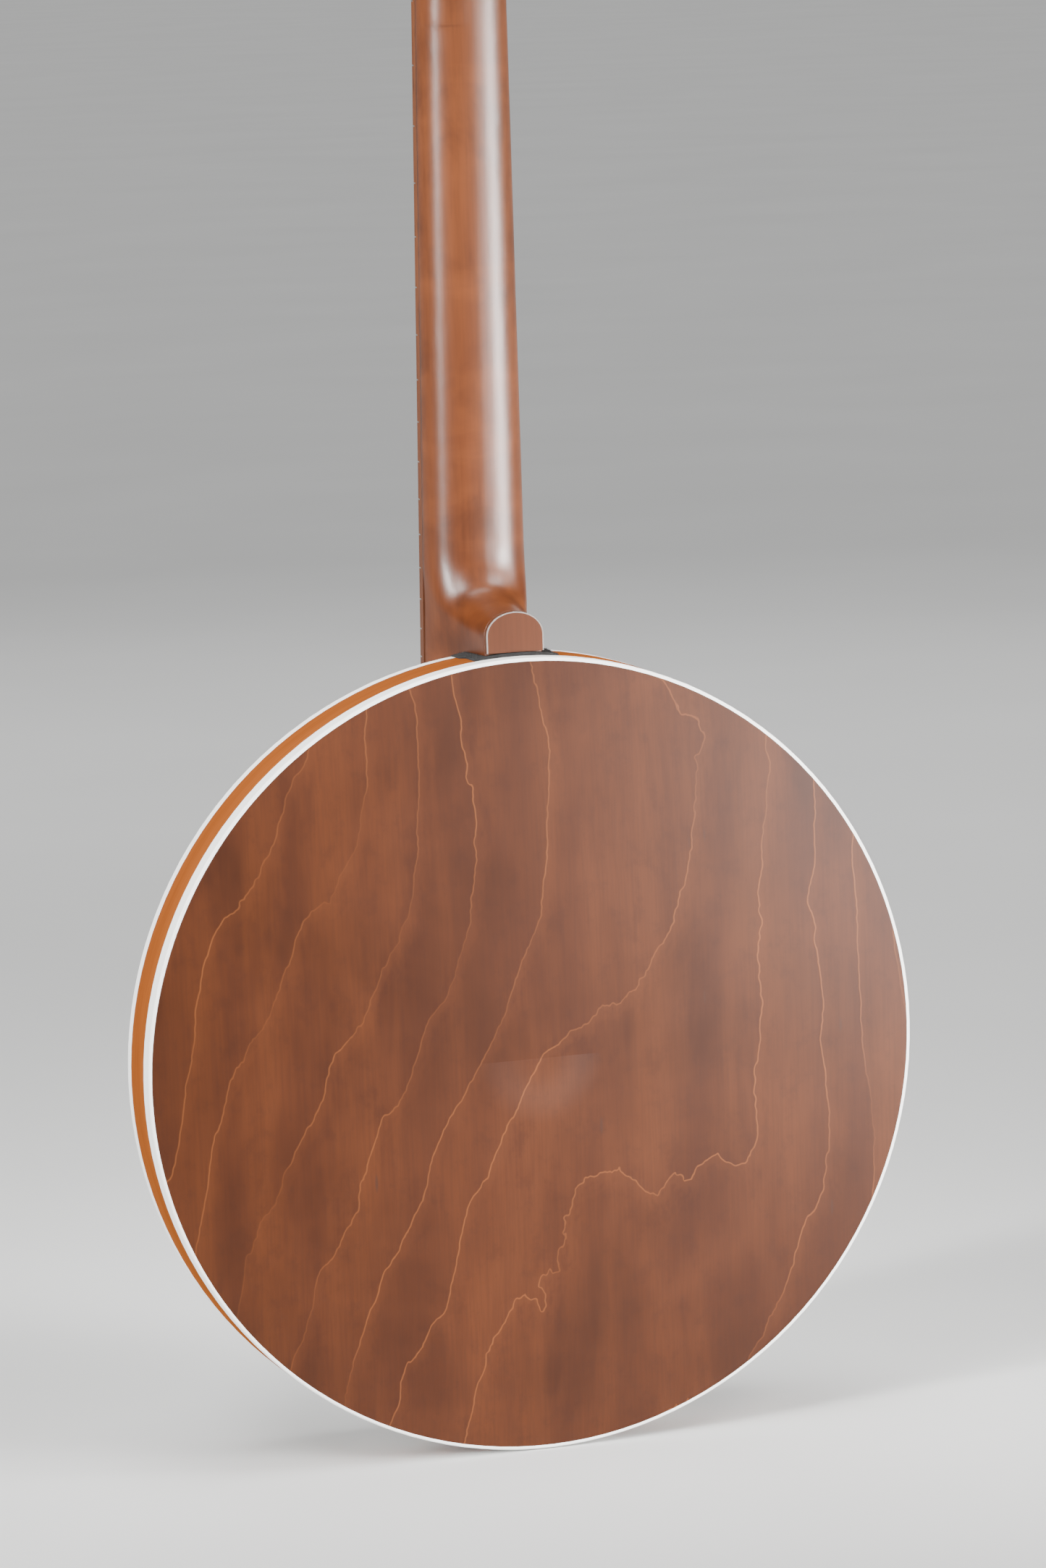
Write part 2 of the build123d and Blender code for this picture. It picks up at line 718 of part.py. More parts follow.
def peghead_outline():
    """Paddle with gently waisted sides and a plain arched top, drawn as (x, z)."""
    half = nut_width / 2 + 0.4
    right = [(half, 0), (27.5, 24), (31.0, 40), (28.6, 80), (33.5, 126), (30.0, peghead_length - 9)]
    left = [(-x, z) for x, z in reversed(right)]
    return closed(
        Spline(*right, tangents=((0.55, 0.8), (-0.9, 0.5))),
        ThreePointArc(right[-1], (0, peghead_length), left[0]),
        Spline(*left, tangents=((-0.9, -0.5), (0.55, -0.8))),
        Line(left[-1], right[0]),
    )


def tuner_points():
    """Post positions in the peghead frame: (x, z, side), bass side first."""
    return [(side * tuner_half_spacing, row, side) for side in (1, -1) for row in tuner_rows]


def peghead_block():
    paddle = slab(peghead_outline(), -peghead_thickness, 0)
    for x, z, _ in tuner_points():
        paddle -= disc(bushing_radius, -peghead_thickness - 1, 1, x=x, z=z)
    return paddle


def neck_to_peghead():
    """Blends the round neck into the peghead's flat back."""
    to_neck = Pos(nut_centre_x, -peghead_drop, nut_z + nut_thickness) * Rot(peghead_angle, 0, 0)
    half = nut_width / 2
    round_end = neck_section(nut_z - 14.0, treble_x(nut_z - 14), narrow_x(nut_z - 14), depth_at(nut_z - 14))
    middle = neck_section(nut_z - 2, nut_centre_x - half, nut_centre_x + half, depth_at(nut_z), 0.25)
    plane = to_neck * Plane(origin=(0, 0, 12.0), x_dir=(1, 0, 0), z_dir=(0, 0, 1))
    wide = half + 3.2
    low = -peghead_thickness
    right = Bezier((wide, -0.2), (wide, 0.95 * low), (0.96 * wide, low), (0, low))
    left = Bezier((0, low), (-0.96 * wide, low), (-wide, 0.95 * low), (-wide, -0.2))
    square_end = plane * closed(Line((-wide, -0.2), (wide, -0.2)), right, left)
    return loft([round_end, middle, square_end])


def neck():
    """One piece of wood from the rim to the peghead's top."""
    shaft = neck_place * (neck_shaft() + neck_to_peghead())
    wood = heel_block() + shaft + peghead_place * peghead_block()
    wood -= neck_place * block(-60, 60, -board_thickness, 20, -80, nut_z + nut_thickness)
    wood -= peghead_place * block(-60, 60, 0, 30, 0, peghead_length + 10)
    wood -= ring(1, rim_radius + 0.05, -20, 90)
    wood -= ring(1, hoop_outer_radius + 0.6, hoop_bottom_y - 0.6, 100)
    wood -= ring(1, rim_lower_radius + 0.3 + 6.4, flange_bottom_y - 0.4, boss_top_y + 0.4)
    for y in (rod_upper_y, rod_lower_y):
        wood -= bar_z(bolt_radius, rim_radius / 2, rim_radius + 26.0, y=y)
    wood -= neck_place * truss_cavity()
    wood -= neck_place * bar_x(3.4, 9.0, 60.0, y=-fifth_peg_depth, z=fifth_z + fifth_peg_offset)
    return wood


def fingerboard():
    board = slab(neck_outline(0.0, -board_end_overhang, nut_z), -board_thickness, 0)
    for number in range(1, fret_count + 1):
        z = fret_z(number)
        board -= block(-40, 40, -tang_depth, 1, z - tang_width / 2, z + tang_width / 2)
    for x, z, radius in marker_places():
        board -= disc(radius, -marker_depth, 1, x=x, z=z)
    for z in side_dot_places():
        x = wide_x(z) if z < shoulder_z else narrow_x(z)
        board -= bar_x(side_dot_radius, x - marker_depth, x + 5, y=-board_thickness / 2, z=z)
    hole = bar_x(3.4, 9.0, 60.0, y=-fifth_peg_depth, z=fifth_z + fifth_peg_offset)
    return neck_place * (board - hole)


def marker_places():
    """Dots between frets: (x, z, radius) in the neck frame."""
    places = []
    for number in (3, 5, 7, 10, 12, 15, 17, 19):
        z = (fret_z(number) + fret_z(number - 1)) / 2
        centre = (treble_x(z) + (narrow_x(z) if number <= 5 else wide_x(z))) / 2
        shifts = (-9.5, 9.5) if number == 12 else (0.0,)
        places += [(centre + shift, z, marker_radius) for shift in shifts]
    return places


def side_dot_places():
    return [(fret_z(n) + fret_z(n - 1)) / 2 for n in (3, 7, 10, 12, 15, 17, 19)]


def position_markers():
    """Round inlays in the fingerboard's face and small dots along its bass edge."""
    dots = [neck_place * disc(r, -marker_depth, 0, x=x, z=z) for x, z, r in marker_places()]
    for z in side_dot_places():
        x = wide_x(z) if z < shoulder_z else narrow_x(z)
        dot = bar_x(side_dot_radius, x - marker_depth, x - 0.02, y=-board_thickness / 2, z=z)
        dots.append(neck_place * dot)
    return dots


def frets():
    """T-section wire with a rounded crown, one length for each slot."""
    wires = []
    for number in range(1, fret_count + 1):
        z = fret_z(number)
        bass = wide_x(z) if number >= 5 else narrow_x(z)
        low, high = treble_x(z) + 0.05, bass - 0.05
        length = high - low
        half = fret_width / 2
        crown = closed(
            Line((-half, 0), (half, 0)),
            ThreePointArc((half, 0), (0, fret_height), (-half, 0)),
        )
        plane = Plane(origin=(low, 0, z), x_dir=(0, 0, -1), z_dir=(1, 0, 0))
        wire = extrude(plane * crown, amount=length)
        wire = wire & block(-60, 60, -1, 5, z - half, z + half)
        tang = block(low, high, -tang_depth, 0.2, z - tang_width / 2, z + tang_width / 2)
        bevel_low = Pos(low, fret_height, z) * Rot(0, 0, 32) * Box(1.0, 3.2, 4)
        bevel_high = Pos(high, fret_height, z) * Rot(0, 0, -32) * Box(1.0, 3.2, 4)
        wires.append(neck_place * ((wire - bevel_low - bevel_high) + tang))
    return wires


def nut_string_x():
    """String positions at the nut, strings 1 to 4."""
    low = treble_x(nut_z) + string_edge
    step = (nut_width - 2 * string_edge) / 3
    return [low + i * step for i in range(4)]


def nut():
    bone = block(treble_x(nut_z), treble_x(nut_z) + nut_width, -board_thickness, 3.0,
                 nut_z, nut_z + nut_thickness)
    bone -= Pos(nut_centre_x, 3.2, nut_z + nut_thickness) * Rot(-12, 0, 0) * Box(60, 2.6, 9)
    return neck_place * bone - string_clearance()


def fifth_nut_point():
    return (wide_x(fifth_z) - string_edge, fifth_z + 5.0)


def fifth_string_nut():
    """Small bone post in the fingerboard behind the fifth fret."""
    x, z = fifth_nut_point()
    post = disc(1.6, 0.0, 2.6, x=x, z=z)
    return neck_place * post - string_clearance()


def peghead_veneer():
    face = slab(peghead_outline(), 0, veneer_thickness)
    for x, z, _ in tuner_points():
        face -= disc(bushing_radius, -1, veneer_thickness + 1, x=x, z=z)
    face -= slab(truss_pocket_outline(), -1, veneer_thickness + 1)
    return peghead_place * face - neck_place * block(-60, 60, -40, 20, -10, nut_z + nut_thickness)


def truss_pocket_outline():
    return Pos(0, 15.0) * SlotOverall(20.0, 9.0, rotation=90)


def truss_cavity():
    """Channel under the fingerboard, open into the pocket in the peghead."""
    half = truss_channel_width / 2
    centre = nut_centre_x / 2
    low = truss_y() - truss_rod_radius - 0.5
    channel = block(centre - half, centre + half, low, -board_thickness + 0.1, 24.0, nut_z - 2.0)
    bore = Pos(centre, 0, 0) * bar_z(4.2, nut_z - 3.0, nut_z + 26.0, y=truss_y())
    return channel + bore


def truss_y():
    """The rod's depth in the neck frame."""
    return -board_thickness - truss_rod_depth


def truss_rod():
    centre = nut_centre_x / 2
    return neck_place * bar_z(truss_rod_radius, 26.0, nut_z + 9.0, x=centre, y=truss_y())


def truss_rod_nut():
    """Hexagonal brass nut on the rod's peghead end."""
    centre = nut_centre_x / 2
    low, high = nut_z + 3.0, nut_z + 13.0
    prism = Pos(centre, truss_y(), low) * extrude(RegularPolygon(3.4, 6, major_radius=False), amount=high - low)
    return neck_place * (prism - bar_z(truss_rod_radius + screw_fit, low - 1, nut_z + 9.1, x=centre, y=truss_y()))


def cover_outline():
    """Bell-shaped cover plate, drawn as (x, z)."""
    half, top = 10.5, 36.0
    return closed(
        Line((-half, 3.0), (half, 3.0)),
        Bezier((half, 3.0), (half, 18.0), (3.0, 20.0), (2.4, top)),
        ThreePointArc((2.4, top), (0, top + 2.4), (-2.4, top)),
        Bezier((-2.4, top), (-3.0, 20.0), (-half, 18.0), (-half, 3.0)),
    )


def cover_screw_places():
    return ((0.0, 33.5), (-7.6, 6.0), (7.6, 6.0))


def truss_rod_cover():
    plate = slab(cover_outline(), veneer_thickness, veneer_thickness + 1.6)
    for x, z in cover_screw_places():
        plate -= disc(0.85, 0, 10, x=x, z=z)
    return peghead_place * plate


def cover_screws():
    """Small round-head screws through the cover."""
    top = veneer_thickness + 1.6
    screws = []
    for x, z in cover_screw_places():
        head_part = disc(1.7, top, top + 0.8, x=x, z=z)
        slot = block(x - 2, x + 2, top + 0.4, top + 2, z - 0.2, z + 0.2)
        shank = disc(0.8, veneer_thickness, top, x=x, z=z)
        screws.append(peghead_place * (head_part - slot + shank))
    return screws


def heel_cap():
    inner = tombstone(heel_cap_half_width - heel_line_width, heel_cap_bottom_z, heel_cap_shoulder_z,
                      heel_cap_top_z - heel_line_width)
    full = tombstone(heel_cap_half_width, heel_cap_bottom_z, heel_cap_shoulder_z, heel_cap_top_z)
    thin = slab(inner, heel_cap_y, heel_cap_y + heel_line_height)
    base = slab(full, heel_cap_y + heel_line_height, heel_cap_y + heel_cap_thickness)
    return thin + base


def heel_cap_line():
    """White line let into the cap's edge."""
    full = tombstone(heel_cap_half_width, heel_cap_bottom_z, heel_cap_shoulder_z, heel_cap_top_z)
    inner = tombstone(heel_cap_half_width - heel_line_width, heel_cap_bottom_z - 1, heel_cap_shoulder_z,
                      heel_cap_top_z - heel_line_width)
    y0, y1 = heel_cap_y, heel_cap_y + heel_line_height
    return slab(full, y0, y1) - slab(inner, y0 - 1, y1 + 1)


# ---------------------------------------------------------------- tuners
def tuner_frame(index):
    """Peghead frame moved to a tuner: post along +Y, Y = 0 on the peghead's back, worm beyond the post in Z."""
    x, z, side = tuner_points()[index]
    turn = Rot(0, 0, 0)
    return peghead_place * Pos(x, -peghead_thickness, z) * turn, side


gear_y = -housing_size[1] / 2 - 0.2


def tuner_housing(index):
    """Cast box with a closed back; the worm's shaft leaves through its outer side."""
    frame, side = tuner_frame(index)
    wide, deep, long = housing_size
    z_mid = worm_offset - long / 2 + 4.4
    outer = Pos(0, -deep / 2, z_mid) * Box(wide, deep, long)
    outer = fillet(outer.edges().filter_by(Axis.Y), 2.4)
    outer = chamfer(outer.faces().sort_by(Axis.Y)[0].edges(), 0.8)
    inner = Pos(0, -deep / 2, z_mid) * Box(wide - 2 * housing_wall, deep - 2 * housing_wall, long - 2 * housing_wall)
    body = outer - inner
    body -= disc(post_radius + 0.06, -housing_wall - 0.1, 1)
    reach = wide
    body -= bar_x(2.06, 0 if side > 0 else -reach, reach if side > 0 else 0, y=gear_y, z=worm_offset)
    ear = Pos(0, -1.0, z_mid - long / 2 - 1.2) * Rot(90, 0, 0) * Cylinder(2.4, 2.0)
    ear -= disc(1.0, -5, 5, z=z_mid - long / 2 - 1.9)
    ear -= inner
    return frame * (body + ear)


def tuner_housings():
    return [tuner_housing(i) for i in range(4)]


def tuner_bushing(index):
    """Hexagonal bush and washer that clamp the tuner from the front."""
    frame, _ = tuner_frame(index)
    front = peghead_thickness + veneer_thickness
    washer = disc(7.0, front, front + 0.8)
    hexagon_part = hexagon(10.0, front + 0.8, front + 3.0)
    sleeve = disc(bushing_radius - 0.02, 1.0, front)
    bush = sleeve + washer + hexagon_part
    return frame * (bush - disc(post_radius + 0.06, -5, front + 10))


def tuner_bushings():
    return [tuner_bushing(i) for i in range(4)]


def wheel_profile():
    """Fourteen stubby teeth, each narrower than its space to leave backlash."""
    points = []
    pitch_angle = 2 * pi / wheel_teeth
    root_half = 0.62 / wheel_root_radius
    tip_half = 0.24 / wheel_tip_radius
    for tooth in range(wheel_teeth):
        middle = tooth * pitch_angle
        for radius, shift in ((wheel_root_radius, -root_half), (wheel_tip_radius, -tip_half),
                              (wheel_tip_radius, tip_half), (wheel_root_radius, root_half)):
            points.append((radius * cos(middle + shift), radius * sin(middle + shift)))
    return make_face(Polyline(*points, close=True))


def tuner_post(index):
    """Waisted string post with a cross hole, and the wheel pressed on its lower end."""
    frame, side = tuner_frame(index)
    top = peghead_thickness + veneer_thickness + post_height
    waist = post_waist_y()
    shaft = disc(post_radius, -housing_wall + 0.02, waist - 2.2)
    shaft += disc(post_radius - 0.7, waist - 2.2, waist + 2.2)
    shaft += disc(post_radius, waist + 2.2, top)
    shaft += disc(2.0, gear_y - 1.6, 0)
    shaft -= bar_z(0.75, -6, 6, y=waist)
    phase = 90.0 if side > 0 else 90.0 + 180.0 / wheel_teeth
    wheel = slab(Rot(0, 0, phase) * wheel_profile(), gear_y - wheel_thickness / 2, gear_y + wheel_thickness / 2)
    return frame * (shaft + wheel)


def post_waist_y():
    """Height of the post's waist above the peghead's back."""
    return peghead_thickness + veneer_thickness + 12.5


def worm_thread():
    """One helical ridge, lead equal to the wheel's pitch."""
    turns = 3.0
    height = turns * wheel_pitch
    helix = Helix(pitch=wheel_pitch, height=height, radius=worm_core_radius)
    depth = worm_tip_radius - worm_core_radius
    ridge = Polyline((-0.12, -0.5), (depth, -0.22), (depth, 0.22), (-0.12, 0.5), close=True)
    section = Plane(origin=(worm_core_radius, 0, 0), x_dir=(1, 0, 0), z_dir=(0, 1, 0)) * make_face(ridge)
    thread = sweep(section, path=helix, is_frenet=True)
    return Pos(0, 0, -height / 2) * thread


def tuner_worm(index):
    """Worm and its shaft, leaving the housing at the side."""
    frame, side = tuner_frame(index)
    half = housing_size[0] / 2
    worm = worm_thread()
    core = bar_z(worm_core_radius, -half + housing_wall + 0.2, half - housing_wall - 0.2)
    journal = bar_z(2.0, half - housing_wall - 0.2, half + 9.0)
    collar = bar_z(2.8, half + 0.15, half + 1.4)
    piece = core + worm + journal + collar
    turn = Rot(0, 90 if side > 0 else -90, 0)
    return frame * (Pos(0, gear_y, worm_offset) * turn * piece)


def tuner_button(index):
    """Oval thumb button on the end of the worm's shaft."""
    frame, side = tuner_frame(index)
    half = housing_size[0] / 2
    near = half + 5.0
    neck_part = bar_x(3.2, near, near + 4.5)
    disc_part = Pos(near + 4.0 + button_length / 2, 0, 0) * Rot(90, 0, 0) * extrude(
        Ellipse(button_length / 2, 8.5), amount=3.0, both=True)
    disc_part = fillet(disc_part.edges(), 2.0)
    button = neck_part + disc_part
    button -= bar_x(2.02, near - 1, half + 9.05)
    if side < 0:
        button = Rot(0, 180, 0) * button
    return frame * (Pos(0, gear_y, worm_offset) * button)


def fifth_frame():
    """Axis of the fifth peg: +X leaves the neck's bass side, X = 0 on that side."""
    z = fifth_z + fifth_peg_offset
    return neck_place * Pos(wide_x(z) + 0.25, -fifth_peg_depth, z)


def fifth_tuner_body():
    """Pressed shank, washer, yoke behind the post and the gear barrel."""
    barrel_start = 1.4 + fifth_post_span
    barrel_end = barrel_start + fifth_barrel_length
    shank = bar_x(3.38, -10.5, 0.0)
    washer = bar_x(5.6, 0.0, 1.4)
    barrel = bar_x(fifth_barrel_radius, barrel_start, barrel_end)
    barrel = fillet(barrel.edges(), 0.8)
    cavity = bar_x(fifth_barrel_radius - 1.1, barrel_start + 1.2, barrel_end - 1.2)
    yoke = bar_x(5.6, 1.0, barrel_start + 1.0) - bar_x(4.3, 0, barrel_start + 2)
    yoke -= block(-5, 40, -1.6, 20, -20, 20)
    body = shank + washer + barrel + yoke - cavity
    body -= bar_x(fifth_post_radius + 0.06, 0.7, barrel_start + 1.3)
    body -= bar_x(1.86, barrel_end - 1.3, barrel_end + 5)
    return fifth_frame() * body


def fifth_tuner_post():
    """String post between the neck and the barrel, with the carrier on its inner end."""
    barrel_start = 1.4 + fifth_post_span
    waist = 1.4 + fifth_post_span / 2
    post = bar_x(fifth_post_radius, 0.75, waist - 1.6)
    post += bar_x(fifth_post_radius - 0.6, waist - 1.6, waist + 1.6)
    post += bar_x(fifth_post_radius, waist + 1.6, barrel_start + 1.4)
    post += bar_x(4.6, barrel_start + 1.4, barrel_start + 3.6)
    post -= bar_z(0.6, -5, 5, x=waist)
    return fifth_frame() * post


def fifth_tuner_button():
    """Thumb button with its shaft and drive gear inside the barrel."""
    barrel_start = 1.4 + fifth_post_span
    end = barrel_start + fifth_barrel_length
    shaft = bar_x(1.8, end - 6.0, end + 8.0)
    gear = bar_x(3.0, end - 6.4, end - 2.4)
    collar = bar_x(3.0, end + 0.15, end + 4.5)
    disc_part = Pos(end + 4.0 + button_length / 2, 0, 0) * Rot(90, 0, 0) * extrude(
        Ellipse(button_length / 2, 8.0), amount=2.8, both=True)
    disc_part = fillet(disc_part.edges(), 1.8)
    return fifth_frame() * (shaft + gear + collar + disc_part)


# ---------------------------------------------------------------- strings, bridge, tailpiece, armrest
def bridge_string_x():
    return [(i - 2) * bridge_spacing for i in range(5)]


def tail_string_x():
    return [(i - 2) * tail_spacing for i in range(5)]


def string_bridge_y():
    return head_y + bridge_height + 0.2


def string_route(number):
    """Points of a string from the tailpiece's pin to its peg, in the pot frame. Strings count from 0 (treble)."""
    radius = string_radii[number]
    tail_x, bridge_x = tail_string_x()[number], bridge_string_x()[number]
    string_y = tail_base_y + tail_plate + 1.6
    points = [(tail_x, string_y, tail_rear_z + 10.0), (tail_x, string_y, tail_front_z + 1.0),
              (bridge_x, string_bridge_y(), bridge_z)]
    if number < 4:
        x = nut_string_x()[number]
        over_nut = neck_place * Pos(x, string_over_nut, nut_z)
        behind_nut = neck_place * Pos(x, string_over_nut - 0.35, nut_z + nut_thickness)
        index, side = ((2, -1), (3, -1), (1, 1), (0, 1))[number]
        frame, _ = tuner_frame(index)
        reach = post_radius - 0.7 + radius + 0.12
        at_post = frame * Pos(-side * reach, post_waist_y(), -0.5)
        points += [tuple(over_nut.position), tuple(behind_nut.position), tuple(at_post.position)]
    else:
        x, z = fifth_nut_point()
        over_nut = neck_place * Pos(x, string_over_nut + 0.3, z)
        waist_x = 1.4 + fifth_post_span / 2
        at_post = fifth_frame() * Pos(waist_x, fifth_post_radius - 0.6 + radius + 0.12, -0.3)
        points += [tuple(over_nut.position), tuple(at_post.position)]
    return points


def string_solid(number, extra=0.0):
    """Straight runs joined by balls at the bends."""
    radius = string_radii[number] + extra
    points = [Vector(*p) for p in string_route(number)]
    solid = None
    for start, end in zip(points, points[1:]):
        run = end - start
        plane = Plane(origin=start, z_dir=run)
        piece = extrude(plane * Circle(radius), amount=run.length)
        solid = piece if solid is None else solid + piece
    for point in points[1:-1]:
        solid += Pos(*point) * Sphere(radius)
    return solid


def strings():
    return [string_solid(i) for i in range(5)]


def string_clearance():
    """Room for the strings, cut from the nut, the fifth nut and the saddle."""
    room = string_solid(0, string_fit)
    for i in range(1, 5):
        room += string_solid(i, string_fit)
    return room


def bridge_face(y_low, y_high):
    """Three-footed bridge seen along the strings, drawn as (x, y)."""
    foot, top = 36.0, 25.5
    body = make_face(Polyline((-foot, y_low), (foot, y_low), (top, y_high), (-top, y_high), close=True))
    arch = 19.0
    for side in (-1, 1):
        body -= Pos(side * 17.6, y_low) * Ellipse(arch / 2 + 1.6, 8.2)
    return body


def bridge():
    """Maple body, thinner at the top."""
    top = head_y + bridge_height - 3.0
    plane = Plane(origin=(0, 0, bridge_z - 3.2), x_dir=(1, 0, 0), z_dir=(0, 0, 1))
    body = extrude(plane * bridge_face(head_y, top), amount=6.4)
    taper = degrees(atan2(1.7, bridge_height))
    for side in (-1, 1):
        wedge = Pos(0, head_y + 0.8, bridge_z + side * 3.2) * Rot(-side * taper, 0, 0) * Pos(0, 15, side * 5) * Box(90, 30, 10)
        body -= wedge
    return body


def bridge_saddle():
    """Dark hardwood top with a groove for each string."""
    top = head_y + bridge_height
    low = top - 3.0
    bar = block(-25.4, 25.4, low, top + 0.25, bridge_z - 1.25, bridge_z + 1.25)
    return bar - string_clearance()


def tail_half_width(z):
    share = (z - tail_rear_z) / (tail_front_z - tail_rear_z)
    return 15.0 - 1.6 * share


def tail_outline(z0, z1, shrink=0.0):
    a, b = tail_half_width(z0) - shrink, tail_half_width(z1) - shrink
    return make_face(Polyline((-a, z0), (a, z0), (b, z1), (-b, z1), close=True))


def tailpiece_base():
    """Plate with raised sides, five string pins and a rear strap; the cover's hinge pin is its second solid."""
    y0, y1 = tail_base_y, tail_base_y + tail_plate
    plate = slab(tail_outline(tail_rear_z, tail_front_z), y0, y1)
    walls = slab(tail_outline(tail_rear_z + 6.0, tail_front_z), y1, y0 + tail_height - tail_plate - 0.3)
    walls -= slab(tail_outline(tail_rear_z - 5.0, tail_front_z + 5.0, tail_plate), 0, 120)
    pins = None
    for x in tail_string_x():
        pin = disc(0.9, y1, y1 + 2.6, x=x, z=tail_rear_z + 9.0)
        pins = pin if pins is None else pins + pin
    strap = block(-5.0, 5.0, rod_upper_y - 7.0, y1, tail_rear_z - 1.6, tail_rear_z)
    strap += block(-5.0, 5.0, y0, y1, tail_rear_z - 1.6, tail_rear_z + 1.0)
    strap -= bar_z(bolt_radius + bolt_clearance, 2 * tail_rear_z, tail_rear_z / 2, y=rod_upper_y)
    strap -= bar_z(2.1, 2 * tail_rear_z, tail_rear_z / 2, y=tail_screw_y())
    return [plate + walls + pins + strap + tail_knuckles(), tailpiece_pin()]


def hinge_y():
    return tail_base_y + tail_height - 2.2


def hinge_z():
    return tail_rear_z + 2.2


def tail_knuckles():
    """Two lugs that hold the hinge pin."""
    lugs = None
    for side in (-1, 1):
        x0, x1 = sorted((side * 9.2, side * 11.6))
        lug = block(x0, x1, tail_base_y + 0.1, hinge_y(), hinge_z() - 1.8, hinge_z() + 1.8)
        lug += bar_x(1.8, x0, x1, y=hinge_y(), z=hinge_z())
        lug -= bar_x(0.84, x0 - 1, x1 + 1, y=hinge_y(), z=hinge_z())
        lugs = lug if lugs is None else lugs + lug
    return lugs


def tailpiece_pin():
    return bar_x(0.8, -12.4, 12.4, y=hinge_y(), z=hinge_z())


def tailpiece_cover():
    """Hinged lid over the string pins, with a turned-down front lip."""
    y0 = tail_base_y + tail_height - tail_plate
    lid = slab(tail_outline(hinge_z() + 2.6, tail_front_z + 0.6, 0.2), y0, y0 + tail_plate)
    lid = lid - slab(tail_outline(tail_front_z - 12.0, tail_front_z - 6.0, 5.5), 0, 120)
    tongue = block(-8.8, 8.8, y0, y0 + tail_plate, hinge_z(), hinge_z() + 3.0)
    barrel = bar_x(1.8, -8.8, 8.8, y=hinge_y(), z=hinge_z())
    cover = lid + tongue + barrel
    return cover - bar_x(0.86, -20, 20, y=hinge_y(), z=hinge_z())


def tail_screw_y():
    return (hoop_bottom_y + hoop_top_y) / 2


def tailpiece_screw():
    """Knurled screw through the strap; its tip bears on the tension hoop."""
    tip = -(hoop_outer_radius + 0.15)
    back = tail_rear_z - 1.6
    shank = bar_z(2.0, back - 2.5, tip, y=tail_screw_y())
    knob = bar_z(5.0, back - 8.5, back - 2.5, y=tail_screw_y())
    knob = chamfer(knob.edges(), 0.6)
    return shank + knob


tail_stack_z = -(tail_rear_z - 1.6 - 6.5)


def tailpiece_fixings():
    """Spacer sleeve and nut that hold the strap on the upper rod's bolt."""
    strap_out = tail_rear_z - 1.6
    spacer = bar_z(5.0, tail_rear_z, -(rim_radius + 1.5), y=rod_upper_y)
    spacer -= bar_z(bolt_radius + screw_fit, -300, 0, y=rod_upper_y)
    return [spacer, rod_nut(strap_out - 5.5, strap_out, rod_upper_y)]


def armrest():
    """Sprung plate over the tension hoop, rolled down at its outer edge."""
    outer_r = hook_circle + 5.6
    inner_r, crest_r = outer_r - armrest_width, outer_r - armrest_crest
    top, lip = hoop_top_y + 9.5, hoop_top_y - 2.0
    thick = 1.6
    outer = Spline((inner_r, top - 2.2), (crest_r, top), (outer_r - 3.5, top - 4.5), (outer_r, lip))
    inner = Spline((inner_r, top - 2.2 - thick), (crest_r, top - thick), (outer_r - 3.5 - thick * 0.8, top - 4.5 - thick * 0.8),
                   (outer_r - thick, lip))
    section = closed(
        outer, Line((outer_r, lip), (outer_r - thick, lip)), inner, Line((inner_r, top - 2.2), (inner_r, top - 2.2 - thick))
    )
    plate = revolve(Plane.XY * section, Axis.Y, armrest_to - armrest_from)
    return around(armrest_turn()) * plate


def armrest_turn():
    """A revolved piece starts on +X, a quarter turn from the neck, and turns away from it."""
    return armrest_from - 90.0


def armrest_clamps():
    """Two brackets: a strap from the plate's edge, an inner clamp bar behind two hooks, and a screw."""
    outer_r = hook_circle + 5.6
    lip = hoop_top_y - 2.0
    solids = []
    for gap in armrest_gaps():
        middle = hook_angles[gap] + hook_step / 2
        low, high = boss_top_y + 3.0, hoop_bottom_y - 1.0
        level = (low + high) / 2
        chord = hook_circle * cos(radians(hook_step / 2))
        inner_face = chord - hook_wire_radius - 0.3
        bar = block(-22, 22, low, high, inner_face - 2.2, inner_face)
        strap_in = chord + hook_wire_radius + 0.3
        strap = block(-22, 22, low, high, strap_in, strap_in + 1.8)
        arm = block(-6, 6, level, lip, strap_in, strap_in + 1.8)
        tab = ring(strap_in, outer_r, lip - 1.8, lip) & block(-6, 6, 0, 200, outer_r / 2, 2 * outer_r)
        hole = bar_z(1.85, outer_r / 2, 2 * outer_r, y=level)
        screw = bar_z(1.8, inner_face - 4.0, strap_in + 1.8, y=level) + bar_z(3.4, strap_in + 1.8, strap_in + 4.0, y=level)
        solids += [around(middle) * (bar - hole), around(middle) * (strap + arm + tab - hole), around(middle) * screw]
    return solids


def armrest_gaps():
    """Indexes of the hook gaps that carry the brackets."""
    return [i for i in range(hook_count - 1) if armrest_from + 8 < hook_angles[i] + hook_step / 2 < armrest_to - 4][::2][:2]


